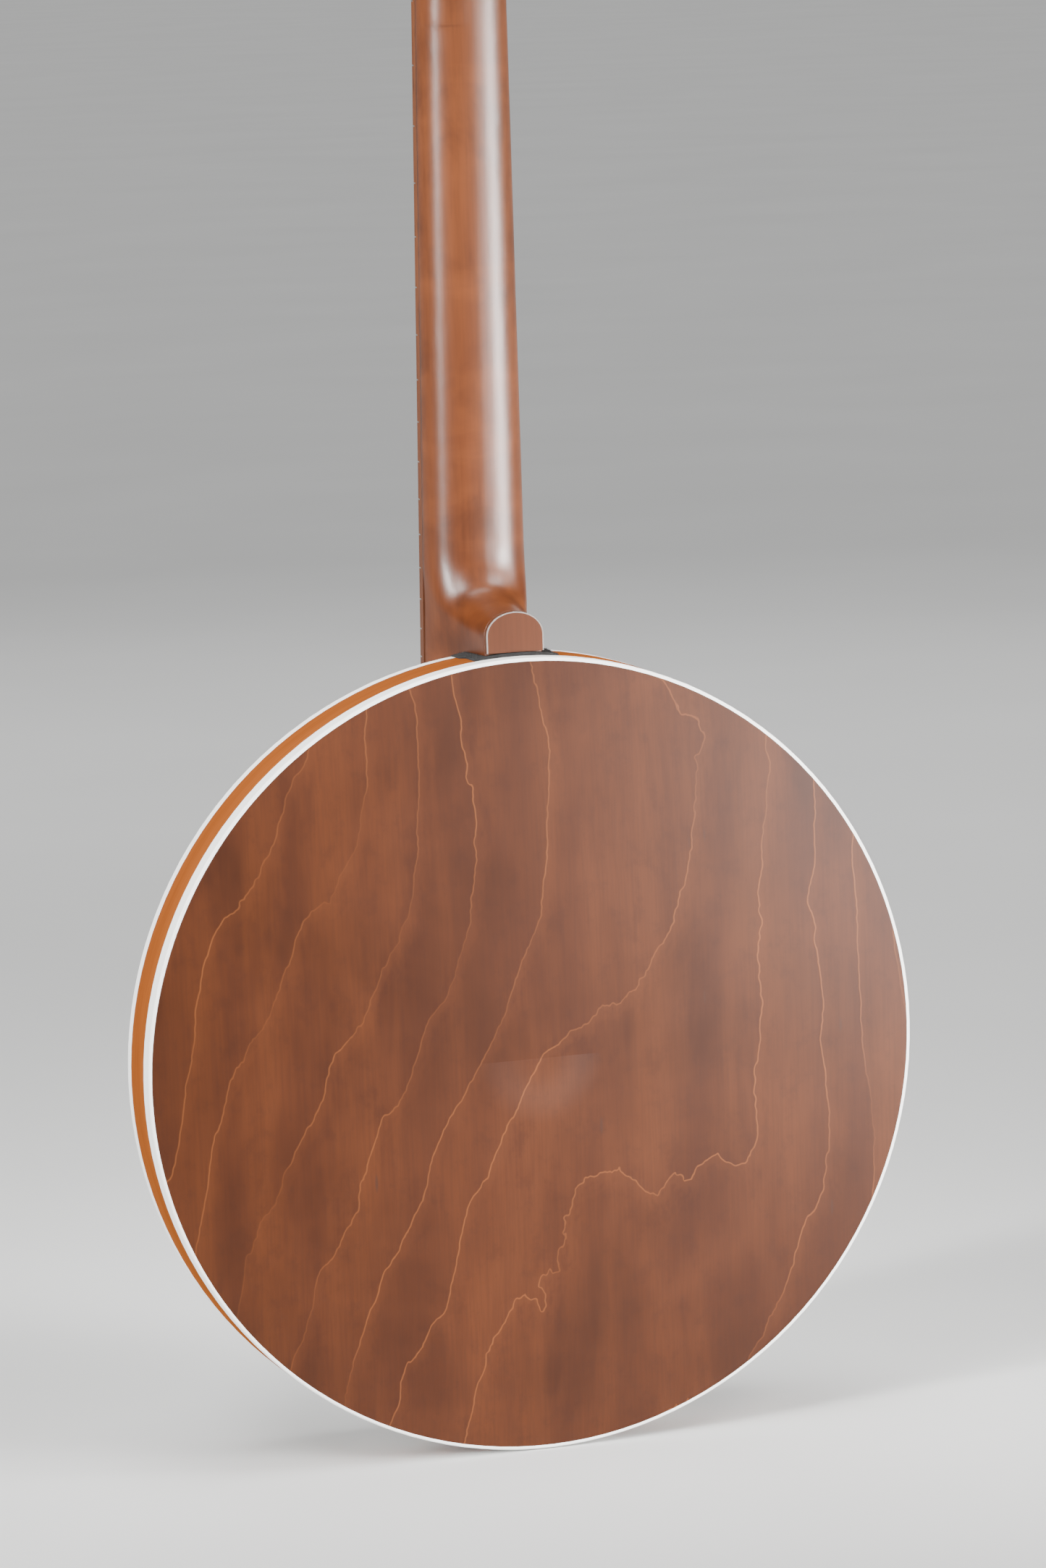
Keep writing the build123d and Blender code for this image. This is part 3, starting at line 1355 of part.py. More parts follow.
# ---------------------------------------------------------------- output
def pieces():
    """Every node's name with its solid, or its list of solids."""
    made = {
        "neck": neck(),
        "fingerboard": fingerboard(),
        "frets": frets(),
        "position_markers": position_markers(),
        "nut": nut(),
        "fifth_string_nut": fifth_string_nut(),
        "peghead_veneer": peghead_veneer(),
        "truss_rod": truss_rod(),
        "truss_rod_nut": truss_rod_nut(),
        "truss_rod_cover": truss_rod_cover(),
        "cover_screws": cover_screws(),
        "heel_cap": heel_cap(),
        "heel_cap_line": heel_cap_line(),
        "neck_bolts": neck_bolts(),
        "rim": rim(),
        "tone_ring": tone_ring(),
        "head": head(),
        "head_hoop": head_hoop(),
        "tension_hoop": tension_hoop(),
        "bracket_hooks": bracket_hooks(),
        "hook_nuts": hook_nuts(),
        "flange": flange(),
        "coordinator_rods": coordinator_rods(),
        "tailpiece_base": tailpiece_base(),
        "tailpiece_cover": tailpiece_cover(),
        "tailpiece_screw": tailpiece_screw(),
        "tailpiece_fixings": tailpiece_fixings(),
        "bridge": bridge(),
        "bridge_saddle": bridge_saddle(),
        "armrest": armrest(),
        "armrest_clamps": armrest_clamps(),
        "strings": strings(),
        "resonator_back": resonator_back(),
        "resonator_wall": resonator_wall_hoop(),
        "back_binding": back_binding(),
        "front_binding": front_binding(),
        "resonator_lining": resonator_lining(),
        "wall_lugs": wall_lugs(),
        "heel_felt": heel_felt(),
        "tuner_housings": tuner_housings(),
        "tuner_bushings": tuner_bushings(),
        "fifth_tuner_body": fifth_tuner_body(),
        "fifth_tuner_button": fifth_tuner_button(),
        "fifth_tuner_post": fifth_tuner_post(),
    }
    for i, angle in enumerate(screw_angles):
        made[f"thumb_screw_{i + 1}"] = thumb_screw(angle)
    for i in range(4):
        made[f"tuner_button_{i + 1}"] = tuner_button(i)
        made[f"tuner_worm_{i + 1}"] = tuner_worm(i)
        made[f"tuner_post_{i + 1}"] = tuner_post(i)
    return made


def main():
    os.makedirs("parts", exist_ok=True)
    for name, shape in pieces().items():
        solids = shape if isinstance(shape, list) else [shape]
        placed = [to_row * s for s in solids]
        export_step(placed[0] if len(placed) == 1 else Compound(children=placed), f"parts/{name}.step")


if __name__ == "__main__":
    main()
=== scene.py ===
"""Looks of the banjo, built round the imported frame."""
import math
import random

import bmesh
import bpy
from mathutils import Matrix, Vector


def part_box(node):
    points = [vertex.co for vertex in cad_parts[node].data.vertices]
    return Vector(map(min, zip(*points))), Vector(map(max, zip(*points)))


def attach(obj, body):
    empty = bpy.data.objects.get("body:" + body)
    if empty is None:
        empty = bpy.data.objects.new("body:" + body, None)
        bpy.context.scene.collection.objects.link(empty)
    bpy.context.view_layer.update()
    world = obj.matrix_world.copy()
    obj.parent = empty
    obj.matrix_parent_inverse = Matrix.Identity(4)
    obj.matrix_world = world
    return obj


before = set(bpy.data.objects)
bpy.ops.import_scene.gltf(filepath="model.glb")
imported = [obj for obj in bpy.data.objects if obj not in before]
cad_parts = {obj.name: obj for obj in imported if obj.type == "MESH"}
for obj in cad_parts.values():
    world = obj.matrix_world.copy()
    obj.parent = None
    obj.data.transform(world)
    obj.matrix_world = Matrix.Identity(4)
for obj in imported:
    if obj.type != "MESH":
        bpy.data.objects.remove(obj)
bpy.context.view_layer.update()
rng = random.Random(7)

# ---------------------------------------------------------------- places taken from the frame
back_low, back_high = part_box("back_binding")
POT = Vector(((back_low.x + back_high.x) / 2, back_low.y, (back_low.z + back_high.z) / 2))
RESONATOR_R = (back_high.x - back_low.x) / 2


# ---------------------------------------------------------------- node helpers
class Mat:
    """A material and short calls that add and join its nodes."""

    def __init__(self, name):
        self.mat = bpy.data.materials.new(name)
        self.mat.use_nodes = True
        self.tree = self.mat.node_tree
        self.tree.nodes.clear()
        self.out = self.tree.nodes.new("ShaderNodeOutputMaterial")
        self.shader = self.tree.nodes.new("ShaderNodeBsdfPrincipled")
        self.tree.links.new(self.shader.outputs[0], self.out.inputs["Surface"])

    def node(self, kind, links=(), values=(), **settings):
        n = self.tree.nodes.new(kind)
        for key, value in settings.items():
            setattr(n, key, value)
        for key, value in dict(values).items():
            n.inputs[key].default_value = value
        for key, socket in dict(links).items():
            self.tree.links.new(socket, n.inputs[key])
        return n

    def set(self, **values):
        for key, value in values.items():
            self.shader.inputs[key.replace("_", " ")].default_value = value

    def link(self, socket, name):
        self.tree.links.new(socket, self.shader.inputs[name])

    def object_point(self, offset=(0, 0, 0), scale=(1, 1, 1)):
        """Object coordinates, measured from offset, then scaled."""
        coord = self.node("ShaderNodeTexCoord").outputs["Object"]
        moved = self.node("ShaderNodeVectorMath", {0: coord}, {1: tuple(-c for c in offset)}, operation="ADD")
        scaled = self.node("ShaderNodeVectorMath", {0: moved.outputs[0]}, {1: scale}, operation="MULTIPLY")
        return scaled.outputs[0]

    def round_point(self, centre, radius, scale=(1, 1, 1)):
        """Coordinates round the pot's axis: (arc length, depth, radius)."""
        part = self.node("ShaderNodeSeparateXYZ", {0: self.object_point(centre)})
        x, y, z = part.outputs
        angle = self.math("ARCTAN2", x, z)
        arc = self.math("MULTIPLY", angle, radius)
        both = self.math("ADD", self.math("MULTIPLY", x, x), self.math("MULTIPLY", z, z))
        joined = self.node("ShaderNodeCombineXYZ", {0: arc, 1: y, 2: self.math("SQRT", both)})
        scaled = self.node("ShaderNodeVectorMath", {0: joined.outputs[0]}, {1: scale}, operation="MULTIPLY")
        return scaled.outputs[0]

    def math(self, operation, a, b=None, c=None):
        n = self.node("ShaderNodeMath", operation=operation)
        for i, value in enumerate((a, b, c)):
            if value is None:
                continue
            if isinstance(value, (int, float)):
                n.inputs[i].default_value = value
            else:
                self.tree.links.new(value, n.inputs[i])
        return n.outputs[0]

    def noise(self, vector, scale, detail=3.0, rough=0.5, distortion=0.0):
        n = self.node("ShaderNodeTexNoise", {"Vector": vector},
                      {"Scale": scale, "Detail": detail, "Roughness": rough, "Distortion": distortion})
        return n.outputs[0]

    def ramp(self, value, stops):
        n = self.node("ShaderNodeValToRGB", {0: value})
        elements = n.color_ramp.elements
        while len(elements) < len(stops):
            elements.new(0.5)
        for element, (position, colour) in zip(elements, stops):
            element.position = position
            element.color = (*colour, 1.0)
        return n.outputs[0]

    def span(self, value, low, high, to_low=0.0, to_high=1.0):
        n = self.node("ShaderNodeMapRange", {0: value},
                      {1: low, 2: high, 3: to_low, 4: to_high}, interpolation_type="SMOOTHSTEP")
        return n.outputs[0]

    def mix(self, factor, a, b):
        n = self.node("ShaderNodeMix", data_type="RGBA")
        for key, value in ((0, factor), (6, a), (7, b)):
            if isinstance(value, (int, float)):
                n.inputs[key].default_value = value
            elif isinstance(value, tuple):
                n.inputs[key].default_value = (*value, 1.0)
            else:
                self.tree.links.new(value, n.inputs[key])
        return n.outputs[2]

    def bump(self, height, strength, distance, normal=None):
        links = {"Height": height}
        if normal is not None:
            links["Normal"] = normal
        n = self.node("ShaderNodeBump", links, {"Strength": strength, "Distance": distance})
        return n.outputs[0]


def paint(material, *nodes):
    """Assigns a material to CAD nodes."""
    for name in nodes:
        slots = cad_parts[name].data.materials
        slots.clear()
        slots.append(material.mat)


# ---------------------------------------------------------------- wood
# Growth lines of the sliced log: lines per metre across and up the panel, then the size, in lines, of each
# waviness that bends them.
GROWTH_ACROSS = 26.0
GROWTH_UP = 1.0
DRIFT_SIZE = 17.0
BEND_SIZE = 1.0
JAG_SIZE = 0.16


def growth_field(m, shift=(0.0, 0.0, 0.0)):
    """Height of the sliced log's rings at each point of the veneer; whole numbers are growth lines."""
    centre = POT - Vector(shift)
    x, _, z = m.node("ShaderNodeSeparateXYZ", {0: m.object_point(centre)}).outputs
    drift = m.noise(m.object_point(centre, (1.0, 1.0, 0.34)), 4.4, 1.5, 0.4)
    bend = m.noise(m.object_point(centre, (1.0, 1.0, 0.42)), 26.0, 2.0, 0.5)
    jag = m.noise(m.object_point(centre, (1.0, 1.0, 0.7)), 120.0, 2.0, 0.6)
    field = m.math("MULTIPLY_ADD", x, GROWTH_ACROSS, m.math("MULTIPLY", z, GROWTH_UP))
    field = m.math("MULTIPLY_ADD", drift, DRIFT_SIZE, field)
    field = m.math("MULTIPLY_ADD", bend, BEND_SIZE, field)
    return m.math("MULTIPLY_ADD", jag, JAG_SIZE, field)


def resonator_veneer():
    """Stained maple veneer: thin wavy growth lines, cloudy stain, fine fibres and short dark flecks."""
    m = Mat("resonator_veneer")
    base = m.object_point(POT)
    step = 0.0006  # metres between the samples that give the field's slope
    field = growth_field(m)
    slope_x = m.math("SUBTRACT", growth_field(m, (step, 0, 0)), field)
    slope_z = m.math("SUBTRACT", growth_field(m, (0, 0, step)), field)
    steep = m.math("SQRT", m.math("MULTIPLY_ADD", slope_x, slope_x, m.math("MULTIPLY", slope_z, slope_z)))
    wrapped = m.math("FRACT", field)
    ring = m.math("SUBTRACT", wrapped, 0.5)
    reach = m.math("MULTIPLY", m.math("ABSOLUTE", ring), step)
    away = m.math("DIVIDE", reach, m.math("MAXIMUM", steep, 0.002))
    line = m.span(away, 0.00050, 0.00006)
    faint = m.span(m.noise(m.object_point(POT, (1.0, 1.0, 0.5)), 13.0, 2.0), 0.36, 0.60, 0.18, 1.0)
    line = m.math("MULTIPLY", line, faint)
    beside = m.math("MULTIPLY", m.span(away, 0.007, 0.0), m.math("GREATER_THAN", ring, 0.0))
    fibre = m.noise(m.object_point(POT, (1.0, 1.0, 0.035)), 820.0, 3.0, 0.62)
    band = m.noise(m.object_point(POT, (1.0, 1.0, 0.16)), 30.0, 4.0, 0.6, 0.3)
    mottle = m.noise(m.object_point(POT, (1.0, 1.0, 0.8)), 120.0, 4.0, 0.68)
    cloud = m.noise(base, 8.5, 4.0, 0.6, 0.4)
    colour = m.ramp(cloud, [(0.30, (0.026, 0.0062, 0.0014)), (0.52, (0.045, 0.0110, 0.0025)),
                            (0.74, (0.074, 0.0190, 0.0044))])
    colour = m.mix(m.span(band, 0.38, 0.68, 0.0, 0.42), colour, (0.096, 0.026, 0.006))
    colour = m.mix(m.span(mottle, 0.48, 0.70, 0.0, 0.26), colour, (0.022, 0.005, 0.0016))
    colour = m.mix(m.span(fibre, 0.35, 0.70, 0.0, 0.24), colour, (0.024, 0.006, 0.002))
    colour = m.mix(m.math("MULTIPLY", beside, 0.16), colour, (0.110, 0.031, 0.008))
    colour = m.mix(m.math("MULTIPLY", line, 0.38), colour, (0.260, 0.084, 0.023))
    pores = m.node("ShaderNodeTexVoronoi", {"Vector": m.object_point(POT, (1.0, 1.0, 0.16))},
                   {"Scale": 120.0, "Randomness": 1.0}, feature="F1").outputs["Distance"]
    fleck = m.math("MULTIPLY", m.span(pores, 0.10, 0.04), m.span(m.noise(base, 26.0, 2.0), 0.54, 0.62))
    colour = m.mix(m.math("MULTIPLY", fleck, 0.7), colour, (0.035, 0.014, 0.008))
    m.link(colour, "Base Color")
    m.link(m.span(cloud, 0.2, 0.8, 0.40, 0.46), "Roughness")
    height = m.math("MULTIPLY_ADD", fibre, 0.5, m.math("MULTIPLY", line, 0.25))
    m.link(m.bump(height, 0.12, 0.0002), "Normal")
    m.set(Specular_IOR_Level=0.20)
    return m


def streaked_wood(name, dark, mid, light, point, figure=0.0, rough=0.36, coat=0.25, pore=0.0, shine=0.4,
                  soften=0.0):
    """Straight-grained wood. Point gives coordinates with the grain's direction already compressed.

    Soften is the radius in metres over which the surface's normals are rounded, for a curved neck.
    """
    m = Mat(name)
    vector = point(m)
    streaks = m.noise(vector, 26.0, 4.0, 0.55, 0.3)
    fibre = m.noise(vector, 700.0, 2.0, 0.6)
    colour = m.ramp(streaks, [(0.28, dark), (0.5, mid), (0.72, light)])
    colour = m.mix(m.span(fibre, 0.3, 0.72, 0.0, 0.22), colour, tuple(c * 0.55 for c in dark))
    if figure:
        across = m.noise(m.object_point(POT, (0.8, 0.8, 2.2)), 15.0, 4.0, 0.6, 0.6)
        colour = m.mix(m.span(across, 0.46, 0.70, 0.0, figure), colour, tuple(c * 1.35 for c in light))
        smoke = m.noise(m.object_point(POT, (1.0, 1.0, 0.7)), 34.0, 4.0, 0.62, 0.4)
        colour = m.mix(m.span(smoke, 0.46, 0.70, 0.0, 1.6 * figure), colour, tuple(c * 0.5 for c in dark))
    if pore:
        pores = m.noise(vector, 1300.0, 1.0, 0.5)
        colour = m.mix(m.span(pores, 0.62, 0.72, 0.0, pore), colour, tuple(c * 0.25 for c in dark))
    m.link(colour, "Base Color")
    m.link(m.span(streaks, 0.2, 0.8, rough - 0.03, rough + 0.05), "Roughness")
    smooth = None
    if soften:
        smooth = m.node("ShaderNodeBevel", (), {"Radius": soften}, samples=6).outputs[0]
        m.link(smooth, "Coat Normal")
    m.link(m.bump(fibre, 0.10, 0.0002, smooth), "Normal")
    m.set(Coat_Weight=coat, Coat_Roughness=rough, Specular_IOR_Level=shine)
    return m


def along_z(m):
    """Coordinates for grain that runs up the banjo."""
    return m.object_point(POT, (1.0, 1.0, 0.05))


def round_axis(m):
    """Coordinates for grain bent round the pot."""
    return m.round_point(POT, RESONATOR_R, (0.05, 1.0, 1.0))


def across_x(m):
    """Coordinates for grain that runs from side to side."""
    return m.object_point(POT, (0.06, 1.0, 1.0))


stained = dict(dark=(0.050, 0.0120, 0.0030), mid=(0.092, 0.0235, 0.0058), light=(0.150, 0.042, 0.0105))
paint(resonator_veneer(), "resonator_back")
paint(streaked_wood("neck_maple", **stained, point=along_z, figure=0.30, rough=0.33, soften=0.004), "neck")
paint(streaked_wood("cap_maple", (0.052, 0.014, 0.004), (0.080, 0.022, 0.007), (0.110, 0.033, 0.011), along_z,
                    rough=0.44, coat=0.0, shine=0.2), "heel_cap")
paint(streaked_wood("wall_maple", (0.17, 0.045, 0.010), (0.24, 0.068, 0.015), (0.31, 0.096, 0.023),
                    round_axis, rough=0.60, coat=0.0, shine=0.0), "resonator_wall")
paint(streaked_wood("rim_maple", (0.26, 0.125, 0.05), (0.36, 0.19, 0.085), (0.45, 0.26, 0.13), round_axis),
      "rim")
paint(streaked_wood("board_wood", (0.062, 0.017, 0.005), (0.105, 0.030, 0.0085), (0.155, 0.048, 0.0135),
                    along_z, rough=0.42, pore=0.7, coat=0.0), "fingerboard")
paint(streaked_wood("ebony", (0.010, 0.008, 0.007), (0.016, 0.013, 0.011), (0.028, 0.022, 0.018), across_x,
                    rough=0.35),
      "bridge_saddle")
paint(streaked_wood("plain_maple", (0.48, 0.31, 0.16), (0.60, 0.41, 0.23), (0.70, 0.50, 0.30), across_x,
                    rough=0.5, coat=0.0), "bridge")
paint(streaked_wood("lining_wood", (0.42, 0.27, 0.14), (0.52, 0.35, 0.19), (0.60, 0.42, 0.25), round_axis,
                    rough=0.6, coat=0.0), "resonator_lining", "wall_lugs")
paint(streaked_wood("black_veneer", (0.006, 0.006, 0.006), (0.009, 0.009, 0.009), (0.014, 0.013, 0.012),
                    along_z, rough=0.16, coat=0.6), "peghead_veneer")


# ---------------------------------------------------------------- metal and plastic
def numbered(stem, count=4):
    """The names of the numbered nodes stem_1 to stem_count."""
    return [f"{stem}_{i}" for i in range(1, count + 1)]


def metal(name, colour, rough, smear=0.05, grain=None):
    """Plated or bare metal with cloudy tarnish; grain is the scale of a brushed finish."""
    m = Mat(name)
    base = m.object_point(POT)
    cloud = m.noise(base, 38.0, 4.0, 0.6)
    m.link(m.mix(m.span(cloud, 0.3, 0.75, 0.0, 0.35), colour, tuple(c * 0.82 for c in colour)), "Base Color")
    m.link(m.span(cloud, 0.3, 0.7, rough, rough + smear), "Roughness")
    height = m.noise(m.object_point(POT, grain) if grain else base, 1100.0, 2.0)
    m.link(m.bump(height, 0.05 if grain is None else 0.18, 0.00008), "Normal")
    m.set(Metallic=1.0)
    return m


nickel = metal("nickel_plate", (0.78, 0.765, 0.73), 0.13)
paint(nickel, "tension_hoop", "bracket_hooks", "hook_nuts", "flange", "tailpiece_base", "tailpiece_screw",
      "tailpiece_fixings", "armrest_clamps", "tuner_housings", "tuner_bushings", "fifth_tuner_body",
      "fifth_tuner_post", "cover_screws", *numbered("tuner_post"), *numbered("thumb_screw"))
paint(metal("bright_plate", (0.80, 0.785, 0.75), 0.09), "tailpiece_cover", "armrest")
paint(metal("plain_steel", (0.52, 0.53, 0.55), 0.30, 0.1), "truss_rod", "neck_bolts", "coordinator_rods",
      "head_hoop", *numbered("tuner_worm"))
paint(metal("brass", (0.72, 0.50, 0.20), 0.24, 0.1), "tone_ring", "truss_rod_nut")
paint(metal("fret_metal", (0.74, 0.72, 0.66), 0.2, 0.08, (0.05, 1.0, 1.0)), "frets")
string_material = metal("string_steel", (0.70, 0.70, 0.69), 0.25)
paint(string_material, "strings")


def plastic(name, colour, rough, cloudy, coat=0.0):
    """Smooth plastic, bone or pearl; cloudy is how much darker its darkest patches are."""
    m = Mat(name)
    cloud = m.noise(m.object_point(POT), 60.0, 4.0, 0.6, 0.6)
    low = tuple(c * (1 - cloudy) for c in colour)
    m.link(m.ramp(cloud, [(0.3, low), (0.7, colour)]), "Base Color")
    m.link(m.span(cloud, 0.3, 0.7, rough, rough + 0.04), "Roughness")
    m.link(m.bump(m.noise(m.object_point(POT), 900.0, 2.0), 0.04, 0.0001), "Normal")
    m.set(Coat_Weight=coat, Coat_Roughness=0.15)
    return m


paint(plastic("white_binding", (0.94, 0.93, 0.90), 0.40, 0.02), "back_binding", "front_binding")
paint(plastic("cap_line", (0.20, 0.17, 0.155), 0.50, 0.05), "heel_cap_line")
paint(plastic("bone", (0.80, 0.745, 0.62), 0.34, 0.08), "nut", "fifth_string_nut")
paint(plastic("pearl", (0.82, 0.82, 0.80), 0.20, 0.22, 0.5), "position_markers")
paint(plastic("pearl_button", (0.80, 0.79, 0.745), 0.22, 0.16, 0.4), "fifth_tuner_button",
      *numbered("tuner_button"))
paint(plastic("black_plastic", (0.012, 0.012, 0.012), 0.22, 0.2, 0.3), "truss_rod_cover")


def frosted_film():
    """Coated head: white, matte and finely speckled, with a faint smudge of play."""
    m = Mat("frosted_film")
    speckle = m.noise(m.object_point(POT), 2600.0, 2.0, 0.7)
    smudge = m.noise(m.object_point(POT), 11.0, 4.0, 0.6)
    colour = m.mix(m.span(speckle, 0.35, 0.7, 0.0, 0.5), (0.82, 0.82, 0.80), (0.72, 0.72, 0.70))
    colour = m.mix(m.span(smudge, 0.45, 0.75, 0.0, 0.25), colour, (0.74, 0.73, 0.69))
    m.link(colour, "Base Color")
    m.link(m.bump(speckle, 0.25, 0.0002), "Normal")
    m.set(Roughness=0.68)
    return m


def felt():
    """Dark matte felt."""
    m = Mat("dark_felt")
    fuzz = m.noise(m.object_point(POT), 1500.0, 4.0, 0.7)
    m.link(m.ramp(fuzz, [(0.3, (0.006, 0.006, 0.006)), (0.7, (0.030, 0.028, 0.027))]), "Base Color")
    m.link(m.bump(fuzz, 0.9, 0.0006), "Normal")
    m.set(Roughness=0.97, Specular_IOR_Level=0.1, Sheen_Weight=0.06, Sheen_Roughness=0.6)
    return m


paint(frosted_film(), "head")
felt_material = felt()
paint(felt_material, "heel_felt")


# ---------------------------------------------------------------- felt fuzz and string windings
def tube(b, points, radii, sides):
    """Adds a closed tube through the points to a bmesh."""
    rings = []
    for i, (point, radius) in enumerate(zip(points, radii)):
        way = (points[min(i + 1, len(points) - 1)] - points[max(i - 1, 0)]).normalized()
        side = way.orthogonal().normalized()
        if rings:
            side = (last_side - way * last_side.dot(way)).normalized()
        last_side = side
        other = way.cross(side)
        turns = [2 * math.pi * k / sides for k in range(sides)]
        spots = [point + radius * (side * math.cos(t) + other * math.sin(t)) for t in turns]
        rings.append([b.verts.new(spot) for spot in spots])
    for low, high in zip(rings, rings[1:]):
        for k in range(sides):
            b.faces.new((low[k], low[(k + 1) % sides], high[(k + 1) % sides], high[k]))
    b.faces.new(tuple(reversed(rings[0])))
    b.faces.new(tuple(rings[-1]))


def add_piece(name, b, material, body):
    """Turns a bmesh into a piece that rides on a body."""
    mesh = bpy.data.meshes.new(name)
    bmesh.ops.recalc_face_normals(b, faces=b.faces)
    b.to_mesh(mesh)
    b.free()
    mesh.shade_smooth()
    mesh.materials.append(material.mat)
    piece = bpy.data.objects.new(name, mesh)
    bpy.context.scene.collection.objects.link(piece)
    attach(piece, body)


FIBRE_COUNT = 1500
FIBRE_LENGTH = (0.0004, 0.0013)
FIBRE_RADIUS = (0.00002, 0.00004)
FIBRE_ROOT_DEPTH = 0.0001
FIBRE_SIDES = 3
WALL_MARGIN = 0.0001


def felt_fuzz():
    """Short stray fibres on the felt's face outside the resonator's wall."""
    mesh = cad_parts["heel_felt"].data
    mesh.calc_loop_triangles()
    open_faces, weights = [], []
    for tri in mesh.loop_triangles:
        corners = [mesh.vertices[i].co for i in tri.vertices]
        centre = (corners[0] + corners[1] + corners[2]) / 3 - POT
        reach = math.hypot(centre.x, centre.z)
        if reach > RESONATOR_R + WALL_MARGIN and tri.normal.z > -0.2:
            open_faces.append((corners, tri.normal.copy()))
            weights.append(tri.area)
    b = bmesh.new()
    for corners, normal in rng.choices(open_faces, weights, k=FIBRE_COUNT):
        u, v = rng.random(), rng.random()
        if u + v > 1:
            u, v = 1 - u, 1 - v
        root = corners[0] + (corners[1] - corners[0]) * u + (corners[2] - corners[0]) * v
        lean = Vector((rng.uniform(-1, 1), rng.uniform(-1, 1), rng.uniform(-1, 1)))
        length = rng.uniform(*FIBRE_LENGTH)
        middle = root + (normal * 0.55 + lean * 0.45) * length * 0.5
        tip = middle + (normal * 0.25 + lean * 0.75) * length * 0.5
        thin = rng.uniform(*FIBRE_RADIUS)
        tube(b, [root - normal * FIBRE_ROOT_DEPTH, middle, tip], [thin, thin, thin * 0.5], FIBRE_SIDES)
    add_piece("felt_fuzz", b, felt_material, "resonator")


# The posts lean with the peghead: the neck's 2.2 degrees and the peghead's further 13.
PEG_LEAN = math.radians(15.2)
WAIST_BELOW_TOP = 0.0085
WAIST_RADIUS = 0.0023
WINDING_DROP = 0.0004
WINDING_GAP = 0.0001
WINDING_TURNS = 4
STEPS_PER_TURN = 20
WIRE_SIDES = 6
STRING_RADII = {1: 0.00028, 2: 0.00017, 3: 0.00013, 4: 0.00015}


def winding(name, centre, axis, radius, wire, body):
    """Turns of string laid side by side round a post."""
    start = Vector((1, 0, 0))
    first = (start - axis * start.dot(axis)).normalized()
    second = axis.cross(first)
    pitch = wire * 2.15
    points = []
    for i in range(WINDING_TURNS * STEPS_PER_TURN + 1):
        t = 2 * math.pi * i / STEPS_PER_TURN
        rise = pitch * (i / STEPS_PER_TURN - WINDING_TURNS / 2)
        points.append(centre + axis * rise + radius * (first * math.cos(t) + second * math.sin(t)))
    b = bmesh.new()
    tube(b, points, [wire] * len(points), WIRE_SIDES)
    add_piece(name, b, string_material, body)


def post_centre(node, axis, below_top):
    """A point on a post's axis, the given distance below its top."""
    verts = [v.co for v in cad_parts[node].data.vertices]
    top = max(v.dot(axis) for v in verts)
    rim = [v for v in verts if v.dot(axis) > top - 0.0003]
    middle = sum(rim, Vector()) / len(rim)
    return middle - axis * (middle.dot(axis) - top + below_top)


felt_fuzz()
peg_axis = Vector((0, math.cos(PEG_LEAN), math.sin(PEG_LEAN)))
for number, wire in STRING_RADII.items():
    spot = post_centre(f"tuner_post_{number}", peg_axis, WAIST_BELOW_TOP) - peg_axis * WINDING_DROP
    around = WAIST_RADIUS + wire + WINDING_GAP
    winding(f"winding_{number}", spot, peg_axis, around, wire, f"tuner_roller_{number}")

# ---------------------------------------------------------------- floor, light and camera
FLOOR_RADIUS = 40.0
FLOOR_DROP = 0.0005
WORLD = 0.09
floor_mesh = bpy.data.meshes.new("floor")
b = bmesh.new()
bmesh.ops.create_circle(b, cap_ends=True, radius=FLOOR_RADIUS, segments=96)
b.to_mesh(floor_mesh)
b.free()
floor = bpy.data.objects.new("floor", floor_mesh)
floor.location = (POT.x, POT.y, back_low.z - FLOOR_DROP)
bpy.context.scene.collection.objects.link(floor)
ground = Mat("pale_floor")
patches = ground.noise(ground.object_point(), 3.0)
ground.link(ground.ramp(patches, [(0.3, (0.70, 0.70, 0.69)), (0.7, (0.73, 0.73, 0.72))]), "Base Color")
ground.set(Roughness=0.9)
floor.data.materials.append(ground.mat)

world = bpy.data.worlds.new("studio")
world.use_nodes = True
world.node_tree.nodes["Background"].inputs[0].default_value = (0.86, 0.88, 0.92, 1)
world.node_tree.nodes["Background"].inputs[1].default_value = WORLD
bpy.context.scene.world = world


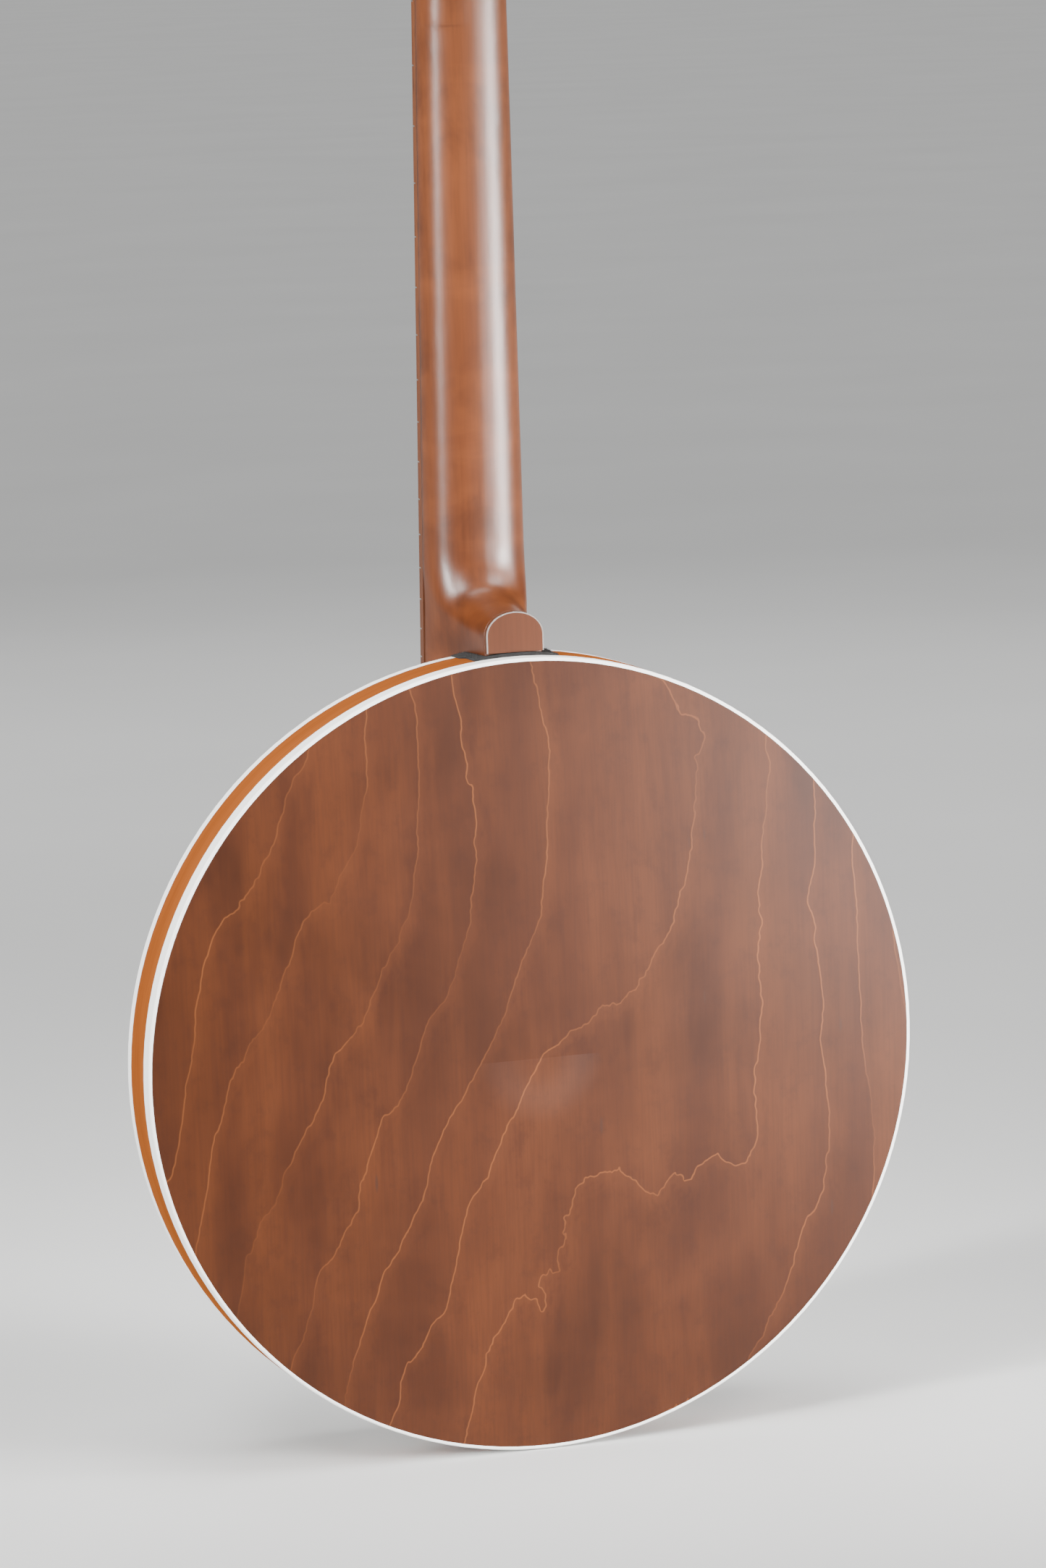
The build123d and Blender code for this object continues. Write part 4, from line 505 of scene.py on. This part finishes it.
def softbox(name, offset, size, power, target=(0, 0, 0.05), spread=180):
    """A rectangular area light at offset from the pot, aimed at target; spread in degrees."""
    data = bpy.data.lights.new(name, "AREA")
    data.shape = "RECTANGLE"
    data.size, data.size_y = size
    data.energy = power
    data.spread = math.radians(spread)
    lamp = bpy.data.objects.new(name, data)
    lamp.location = POT + Vector(offset)
    aim = POT + Vector(target) - lamp.location
    lamp.rotation_euler = aim.to_track_quat("-Z", "Y").to_euler()
    bpy.context.scene.collection.objects.link(lamp)


softbox("high_right", (0.55, -0.58, 0.85), (0.35, 0.35), 1.25, target=(0.08, 0, 0.24), spread=66)
softbox("high_left", (-0.62, -0.62, 0.85), (0.30, 0.40), 1.55, target=(-0.08, 0, 0.20), spread=66)
softbox("low_right", (1.10, -1.00, 0.16), (0.40, 0.50), 6.5, target=(0.22, 0, 0.06), spread=44)
softbox("neck_left", (-1.75, -0.75, 0.9), (0.16, 1.5), 11.0, target=(0, 0, 0.40), spread=50)
softbox("neck_right", (1.70, -0.75, 0.9), (0.45, 1.4), 1.6, target=(0, 0, 0.40), spread=50)
softbox("front_side", (0.6, 2.4, 1.6), (1.6, 1.6), 22)
overhead = bpy.data.lights.new("overhead", "SUN")
overhead.energy = 2.0
overhead.angle = math.radians(30)
lamp = bpy.data.objects.new("overhead", overhead)
lamp.rotation_euler = (math.radians(3), 0, 0)
bpy.context.scene.collection.objects.link(lamp)

# The camera stands behind the banjo, to its left and a little above the pot, with a long lens.
yaw, pitch, roll = 0.317, -0.144, -0.034
cam_offset = Vector((-0.9030, -2.7465, 0.5400))
forward = Vector((math.sin(yaw) * math.cos(pitch), math.cos(yaw) * math.cos(pitch), math.sin(pitch)))
level = Vector((math.cos(yaw), -math.sin(yaw), 0))
upright = level.cross(forward)
right = level * math.cos(roll) + upright * math.sin(roll)
up = upright * math.cos(roll) - level * math.sin(roll)
cam_data = bpy.data.cameras.new("camera")
cam_data.sensor_fit = "VERTICAL"
cam_data.sensor_height = 36.0
cam_data.lens = 153.9
cam_data.clip_end = 200.0
camera = bpy.data.objects.new("camera", cam_data)
camera.matrix_world = Matrix((right, up, -forward)).transposed().to_4x4()
camera.location = POT + cam_offset
bpy.context.scene.collection.objects.link(camera)
bpy.context.scene.camera = camera
